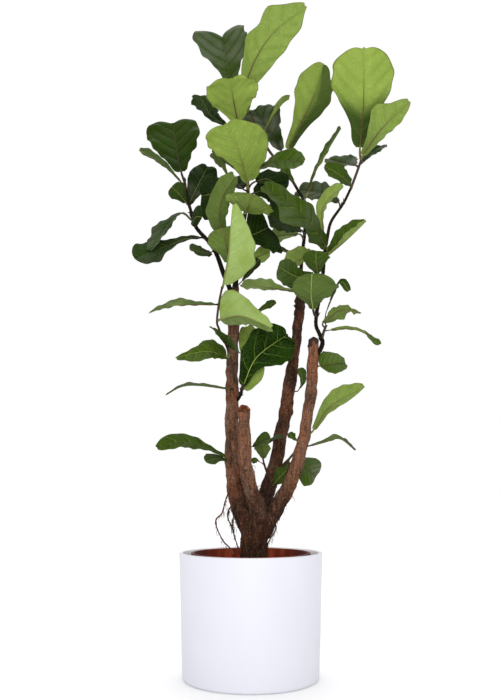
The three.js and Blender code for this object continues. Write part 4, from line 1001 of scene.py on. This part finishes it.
def add_bud(shape, stem):
    """The pointed bud at a shoot's end, in its brown sheath."""
    end, direction = stem_end(stem)
    profile = [(0.0, 1.15), (0.25, 1.35), (0.55, 1.0), (0.8, 0.55), (1.0, 0.1)]
    rows = [[*(end[:3] + direction * share * BUD_LENGTH), end[3] * radius] for share, radius in profile]
    tube(shape, smooth_rows(rows, 3), STALK_SIDES, STALK, BUD_TONE)


# ---- Wood, in mm ----
STEM_SIDES, ROOT_SIDES, ROOTLET_SIDES, SCALE_SIDES = 28, 8, 4, 5
VOXEL = 2.2
FISSURE_DEPTH, FISSURE_GRAIN = 0.75, (0.16, 0.16, 0.035)
LUMP_DEPTH, LUMP_GRAIN = 3.2, 0.045
RAGGED_DEPTH, RAGGED_GRAIN = 3.0, 0.11
NODE_SPACING, NODE_RISE, SKIN_DROP = 21.0, 0.55, 0.9
# How a sawn stem ends: its colour, from 0.5, dark, to 1, freshly torn, and how far down it shows.
CUTS = dict(front_stem=(1.0, 13.0), right_stem=(0.5, 20.0), middle_stem=(0.55, 50.0), left_stem=(0.5, 20.0))
CUT_DOME = 9.0    # by how much a cut face stands up in its middle
CUT_ROUND, CUT_ROUND_OVER = 2.6, 5.0    # by how much its edge is worn down, and over what height
CUT_ABOVE, CUT_ASIDE = 8.0, 9.0    # how far past the end and the radius the bark still counts as cut
# Knobs where old leaves and twigs were: the stem, a place on its outline, and the height.
KNOBS = [("middle_stem", 294.5, 413, 7.0), ("right_stem", 304.5, 437, 3.0), ("left_stem", 226, 462, 3.0),
         ("front_stem", 252, 472, 3.0), ("right_stem", 316, 392, 2.5), ("left_stem", 237, 389, 3.0),
         ("middle_stem", 276, 437, 3.0), ("left_stem", 225.5, 425, 2.5), ("right_stem", 296, 470, 3.0)]
KNOB_WIDTH = 7.0
DARK_HEIGHT, DARK_BLEND = 520.0, 120.0    # below this height the stems darken over this stretch
STEM_BLEND = 4.0    # over which one stem's tone turns into the next one's


def remeshed(shape):
    """The union of a shape's closed tubes as one even skin, with rounded forks."""
    piece = shape.make("stems_before_bark", [])
    remesh = piece.modifiers.new("skin", "REMESH")
    remesh.mode, remesh.voxel_size, remesh.use_smooth_shade = "VOXEL", VOXEL * MM, True
    smooth = piece.modifiers.new("forks", "SMOOTH")
    smooth.factor, smooth.iterations = 0.5, 5
    graph = bpy.context.evaluated_depsgraph_get()
    mesh = bpy.data.meshes.new_from_object(piece.evaluated_get(graph))
    bpy.data.objects.remove(piece)
    mesh.materials.clear()
    return mesh


def follow_stems(points):
    """How light the bark is at each point, and how far along its nearest stem the point lies."""
    inside = np.full(len(points), np.inf)
    travelled = np.zeros(len(points))
    weights = np.zeros((len(THICK_STEMS), len(points)))
    for weight, stem in zip(weights, THICK_STEMS.values()):
        axis, radii = stem["line"][:, :3], stem["line"][:, 3]
        gaps = np.linalg.norm(points[:, None] - axis[None], axis=2) - radii
        nearest = gaps.argmin(axis=1)
        gap = gaps[np.arange(len(points)), nearest]
        weight[:] = np.exp(-np.clip(gap / STEM_BLEND, -1, 15))
        closer = gap < inside
        inside[closer] = gap[closer]
        along = unit(np.gradient(axis, axis=0))[nearest]
        past = np.sum((points - axis[nearest]) * along, axis=1)
        travelled[closer] = (lengths_along(axis)[nearest] + past)[closer]
    weights /= weights.sum(axis=0)
    tone = sum(BARK_TONE[name] * weight for name, weight in zip(THICK_STEMS, weights))
    return tone * (1 - 0.75 * np.clip((DARK_HEIGHT - points[:, 2]) / DARK_BLEND, 0, 1)), travelled


def cut_ends(points, normals, ragged):
    """How much of a sawn end shows at each point, and how far the end pushes the bark out there."""
    cut, push = np.zeros(len(points)), np.zeros(len(points))
    for name, (colour, band) in CUTS.items():
        end, direction = stem_end(THICK_STEMS[name])
        height = (points - end[:3]) @ direction
        radial = np.linalg.norm(points - end[:3] - height[:, None] * direction, axis=1)
        near = (radial < end[3] + CUT_ASIDE) & (height > -2 * band) & (height < CUT_ABOVE)
        reach = np.clip((height + band * (1 + 0.8 * ragged)) / (0.4 * band), 0, 1) * near
        cut = np.maximum(cut, colour * reach)
        worn = CUT_ROUND * np.clip(height / CUT_ROUND_OVER + 1, 0, 1) ** 2
        push += (RAGGED_DEPTH * ragged * reach - worn) * near
        push += CUT_DOME * np.clip(1 - (radial / end[3]) ** 2, 0, 1) * (normals @ direction > 0.3) * near
    return cut, push


def build_bark(material):
    """The trunk and the thick stems in one skin, with fissures, rings, knobs and sawn ends."""
    shape = Shape()
    for stem in THICK_STEMS.values():
        tube(shape, stem["line"], STEM_SIDES)
    mesh = remeshed(shape)
    points = read_vectors(mesh.vertices, "co") / MM
    normals = read_vectors(mesh.vertices, "normal")
    tone, travelled = follow_stems(points)
    fissures = [noise.ridged_multi_fractal(Vector(point), 0.9, 2.1, 4, 1.0, 2.0)
                for point in points * FISSURE_GRAIN]
    lumps, ragged = (np.array([noise.noise(Vector(point)) for point in points * grain])
                     for grain in (LUMP_GRAIN, RAGGED_GRAIN))
    rings = np.exp(-((travelled % NODE_SPACING) / NODE_SPACING - 0.5) ** 2 / 0.006)
    push = FISSURE_DEPTH * np.array(fissures) + LUMP_DEPTH * lumps + NODE_RISE * rings - SKIN_DROP
    for name, across, down, height in KNOBS:
        centre = place(across, down, nearest_on_stem(name, (across, down))[1])
        push += height * np.exp(-np.sum((points - centre) ** 2, axis=1) / (2 * KNOB_WIDTH ** 2))
    cut, cut_push = cut_ends(points, normals, ragged)
    pushed = points + normals * (push + cut_push)[:, None]
    mesh.vertices.foreach_set("co", (pushed * MM).astype(np.float32).ravel())
    mesh.materials.append(material)
    set_values(mesh, dict(tone=tone, cut=cut))
    mesh.polygons.foreach_set("use_smooth", [True] * len(mesh.polygons))
    return add_object("bark", mesh)


LEADER_SIDES = 14
LEADER_RING, LEADER_RING_RISE = 9.0, 0.09    # the rings' spacing, and their rise as a share of the radius
LEADER_YOUNG = 260.0    # how far from its foot a leafy branch has its youngest colour


def build_leaders(materials):
    """The thin leafy branches, with rings where old leaves were."""
    shape = Shape()
    for name, stem in STEMS.items():
        if "node" in stem or name.startswith("root") or name in THICK_STEMS:
            continue
        line = smooth_rows(stem["line"], 2)
        lengths = lengths_along(line[:, :3])
        rings = np.exp(-((lengths % LEADER_RING) / LEADER_RING - 0.5) ** 2 / 0.01)
        line[:, 3] *= 1 + LEADER_RING_RISE * rings
        young = np.clip(lengths / LEADER_YOUNG, 0, 1)
        tube(shape, line, LEADER_SIDES, tone=np.repeat(0.3 + 0.35 * young, LEADER_SIDES))
    return shape.make("leaders", materials)


HAIRS_PER_ROOT = 60
STRAND_COUNT, BEARD_COUNT = 150, 90    # rootlets that lie on the fork's bark, and that hang from it
STRAND_LOW, STRAND_HIGH = 285.0, 520.0    # the heights between which they grow
STRAND_STEP = 6.0
# Dry brown sheaths of old buds: the stem, the place, how many, and the height that they cover.
SHEATHS = [("middle_stem", 299, 306, 34, 42), ("inner_twig", 241, 394, 12, 20),
           ("branch_shoot", 185, 185, 9, 10), ("left_branch", 193, 216, 12, 22),
           ("right_leader", 317, 313, 12, 24), ("left_leader", 237, 282, 12, 22),
           ("right_leader", 321, 340, 7, 12), ("middle_shoot", 292, 181, 9, 14),
           ("right_leader", 343, 204, 6, 10)]


def add_rootlet(shape, start, away, length, draw):
    """A hair that leaves its root and then hangs."""
    middle = start + unit(away) * min(length * 0.45, 8)
    end = middle + np.array([5 * (next(draw) - 0.5), 5 * (next(draw) - 0.5), -0.75 * length])
    lower = 0.5 * (middle + end) + [next(draw) - 0.5, 0, 0]
    rows = [[*start, 0.5], [*middle, 0.42], [*lower, 0.32], [*end, 0.15]]
    tube(shape, smooth_rows(rows, 3), ROOTLET_SIDES, tone=0.15)


def add_root(shape, name):
    """An aerial root with the fine hairs on it."""
    line = STEMS[name]["line"].copy()
    draw = seeded_draw(name)
    line[:, 3] *= [0.5 + 0.3 * next(draw) for _ in line]
    tube(shape, line, ROOT_SIDES, tone=0.2)
    for _ in range(HAIRS_PER_ROOT):
        start = line[int(next(draw) * (len(line) - 1)), :3]
        away = np.array([next(draw) - 0.5, 0.6 - next(draw), -0.7 * next(draw)])
        add_rootlet(shape, start, away, 6 + 16 * next(draw), draw)


def add_strands(shape, bark):
    """Rootlets that creep down over the fork's bark, and others that hang from it."""
    points = read_vectors(bark.data.vertices, "co") / MM
    normals = read_vectors(bark.data.vertices, "normal")
    draw = seeded_draw("strands")
    low = np.flatnonzero((points[:, 2] > STRAND_LOW) & (points[:, 2] < STRAND_HIGH))
    skin = kdtree.KDTree(len(low))
    for i in low:
        skin.insert(points[i], int(i))
    skin.balance()
    for _ in range(STRAND_COUNT):
        at = low[int(next(draw) * len(low))]
        heading = np.array([next(draw) - 0.5, next(draw) - 0.5, -0.3 - next(draw)])
        rows = []
        for step in range(6 + int(7 * next(draw))):
            lift = 0.4 + 1.2 * next(draw)
            rows.append([*(points[at] + normals[at] * lift), 0.55 - 0.025 * step])
            heading = unit(heading) + [0.9 * (next(draw) - 0.5), 0.9 * (next(draw) - 0.5), -0.12]
            at = skin.find(points[at] + unit(heading) * STRAND_STEP)[1]
        tube(shape, smooth_rows(rows, 2), ROOTLET_SIDES, tone=0.2 + 0.8 * (next(draw) > 0.75))
    for _ in range(BEARD_COUNT):
        at = low[int(next(draw) * len(low))]
        add_rootlet(shape, points[at], normals[at] + [0, 0, -0.6], 12 + 26 * next(draw) ** 2, draw)


def add_sheaths(shape, name, across, down, count, cover):
    """A tuft of dry scales round a stem."""
    draw = seeded_draw(name + str(across))
    line = STEMS[name]["line"]
    for _ in range(count):
        target = nearest_on_stem(name, (across, down))[:3] + [0, 0, cover * (next(draw) - 0.5)]
        row = int(np.argmin(np.linalg.norm(line[:, :3] - target, axis=1)))
        along = unit(line[min(row + 1, len(line) - 1), :3] - line[max(row - 1, 0), :3])
        away = flatten(np.array([next(draw) - 0.5, next(draw) - 0.5, next(draw) - 0.5]), along)
        length = 5 + 7 * next(draw)
        start = line[row, :3] + away * (line[row, 3] - 1.0)
        middle = start + away * 2.5 + along * 0.5 * length
        end = middle + away * length * (0.7 * next(draw) - 0.1) + along * length * (0.6 * next(draw))
        rows = [[*start, 1.7], [*middle, 1.3], [*end, 0.25]]
        tube(shape, smooth_rows(rows, 3), SCALE_SIDES, tone=0.12 * next(draw))


def build_roots(materials, bark):
    """The aerial roots from the fork, fine rootlets on them and on the bark, and dry sheaths of buds."""
    shape = Shape()
    for name in STEMS:
        if name.startswith("root"):
            add_root(shape, name)
    add_strands(shape, bark)
    for sheaths in SHEATHS:
        add_sheaths(shape, *sheaths)
    return shape.make("aerial_roots", materials)


# ---- Pots and soil, in mm ----
LATHE_SIDES = 160
LIP_ROUND, CURL_ROUND = 3.2, 1.2    # the radii of the planter's edges and of the nursery pot's
LINER_BASE = PLANTER["floor"] + SEAT_GAP
SOIL_RINGS, SOIL_SIDES, SOIL_TONE = 60, 150, 0.3
CHIP_COUNT, CHIP_NEAREST, CHIP_FURTHEST = 420, 44, 130


def build_planter(material):
    """The outer pot, whose foot steps in a little above the ground."""
    rim, foot, height, wall, floor = PLANTER.values()
    outside = [[0, 0], [foot - 6, 0], [foot - 5.5, 1.4], [foot - 1.5, 2.2], [foot, 8], [rim, height],
               [rim - wall, height], [foot - wall, floor], [0, floor]]
    profile = rounded(outside, LIP_ROUND)
    middle_of_wall = foot + (rim - foot) * profile[:, 1] / height - wall / 2
    outer = (profile[:, 0] > middle_of_wall) | (profile[:, 1] < floor)
    shape = Shape()
    # tone 0 marks the inner wall, which the material paints brighter as painted light
    lathe(shape, profile, LATHE_SIDES, np.where(outer, 1.0, 0.0))
    return shape.make("planter_shell", [material])


def build_liner(material):
    """The nursery pot, with the outer step of its curled rim."""
    rim, mouth, foot, height, wall, floor, curl = LINER.values()
    top = LINER_BASE + height
    side = foot + (mouth - foot) * (height - curl) / height
    outside = [[0, LINER_BASE], [foot, LINER_BASE], [side, top - curl], [rim - 0.6, top - curl],
               [rim, top], [mouth - wall, top], [foot - wall, LINER_BASE + floor], [0, LINER_BASE + floor]]
    shape = Shape()
    lathe(shape, rounded(outside, CURL_ROUND), LATHE_SIDES)
    return shape.make("nursery_pot_shell", [material])


def soil_radius(z):
    mouth, foot, height, wall, floor = (LINER[key] for key in ("mouth", "foot", "height", "wall", "floor"))
    return foot - wall + (mouth - foot) * (z - LINER_BASE - floor) / (height - 1 - floor) - 0.8


def soil_height(x, y):
    """The soil's surface, which rises a little to the trunk and is crumbly all over."""
    radius = math.hypot(x, y)
    crumbs = noise.fractal(Vector((x * 0.06, y * 0.06, 3.0)), 0.7, 2.1, 5)
    edge = 3.0 * max(radius - 125, 0) / 15
    return SOIL_TOP + 1.5 + 2.0 * math.exp(-(radius / 60) ** 2) + 1.6 * crumbs - edge


def add_chip(shape, draw):
    """A chip with six corners that lies on the soil, if its place is clear of the trunk."""
    radius, angle = CHIP_FURTHEST * math.sqrt(next(draw)), 2 * math.pi * next(draw)
    size, flat, pale = 1.2 + 3.6 * next(draw) ** 2, 0.45 + 0.5 * next(draw), next(draw)
    turned = math.pi * next(draw)
    if radius < CHIP_NEAREST:
        return
    x, y = radius * math.cos(angle), radius * math.sin(angle)
    z = soil_height(x, y)
    points = []
    for i in range(6):
        spread = turned + math.pi * i / 3
        reach = size * (0.75 + 0.5 * next(draw))
        points.append([x + reach * math.cos(spread), y + reach * flat * math.sin(spread), z + 0.1 * size])
    points += [[x, y, z + size * flat], [x, y, z - size * flat]]
    sides = [(i, (i + 1) % 6, 6) for i in range(6)] + [((i + 1) % 6, i, 7) for i in range(6)]
    shape.add(points, sides, tone=0.95 if pale > 0.86 else 0.4 * pale)


def build_soil(material):
    shape = Shape()
    bottom = LINER_BASE + LINER["floor"] + SEAT_GAP
    edge = soil_radius(SOIL_TOP - 4)
    surface = [[edge * ring / SOIL_RINGS, SOIL_TOP] for ring in range(SOIL_RINGS, -1, -1)]
    lathe(shape, [[0, bottom], [soil_radius(bottom), bottom], *surface], SOIL_SIDES, SOIL_TONE)
    for vertex in shape.vertices[0]:
        if vertex[2] == SOIL_TOP:
            vertex[2] = soil_height(*vertex[:2])
    draw = seeded_draw("chips")
    for _ in range(CHIP_COUNT):
        add_chip(shape, draw)
    return shape.make("soil_surface", [material])


# ---- The pieces ----
def dress(piece, slot, *nodes):
    """Hides the parts of the nodes that a piece stands for, if any, and attaches it to what it moves with.
    Its slot, what it is made of, is not used.
    """
    if nodes:
        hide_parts(*nodes)
    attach(piece, "root")
    return piece


bark = bark_material()
leaf_materials = [leaf_upper(), leaf_under(), petiole_material()]

dress(build_planter(planter_material()), "planter", "planter")
dress(build_liner(liner_material()), "nursery_pot", "nursery_pot")
dress(build_soil(soil_material()), "soil", "soil")
skin = dress(build_bark(bark), "bark", "wood")
dress(build_leaders([young_bark_material()]), "bark")
dress(build_roots([bark], skin), "bark")

for node_name in dict.fromkeys(leaf.node for leaf in LEAVES):
    foliage = Shape()
    for name, stem in STEMS.items():
        if stem.get("node") == node_name:
            tube(foliage, stem["line"], TWIG_SIDES, STALK, TWIG_TONE)
            if name.endswith("shoot"):
                add_bud(foliage, stem)
    for leaf in LEAVES:
        if leaf.node == node_name:
            add_blade(foliage, leaf)
            add_stalk(foliage, leaf)
    dress(foliage.make(node_name + "_fine", leaf_materials), "leaf", node_name)

# ---- Floor, lights and camera, in metres ----
bpy.ops.mesh.primitive_plane_add(size=40)
floor = bpy.context.object
floor.name = "floor"
floor.data.materials.append(floor_material())

world = bpy.data.worlds.new("studio")
bpy.context.scene.world = world
world.use_nodes = True
world.node_tree.nodes["Background"].inputs["Color"].default_value = (1, 1, 1, 1)
world.node_tree.nodes["Background"].inputs["Strength"].default_value = 1.0

# Each light's place, the place it aims at, its size and its power in watts.
LIGHTS = dict(front_light=((0, -4.6, 1.3), (0, 0, 0.8), 1.8, 95),
              top_light=((0, 1.8, 7.0), (0, 0, 0), 3.0, 105))
for name, (light_place, aim, size, power) in LIGHTS.items():
    data = bpy.data.lights.new(name, "AREA")
    data.size, data.energy = size, power
    light = add_object(name, data)
    light.location = light_place
    light.rotation_euler = (Vector(aim) - Vector(light_place)).to_track_quat("-Z", "Y").to_euler()

camera_data = bpy.data.cameras.new("eye")
camera_data.sensor_fit = "VERTICAL"
camera_data.sensor_height = SENSOR
camera_data.lens = EYE_FOCAL * SENSOR / VIEW_HEIGHT
camera_data.shift_x = (VIEW_WIDTH / 2 - EYE_ACROSS) / VIEW_HEIGHT
camera = add_object("eye", camera_data)
camera.location = (0, -EYE_BACK * MM, EYE_HEIGHT * MM)
camera.rotation_euler = (math.pi / 2 + EYE_TILT, 0, 0)
bpy.context.scene.camera = camera
bpy.context.scene.view_settings.view_transform = "Standard"
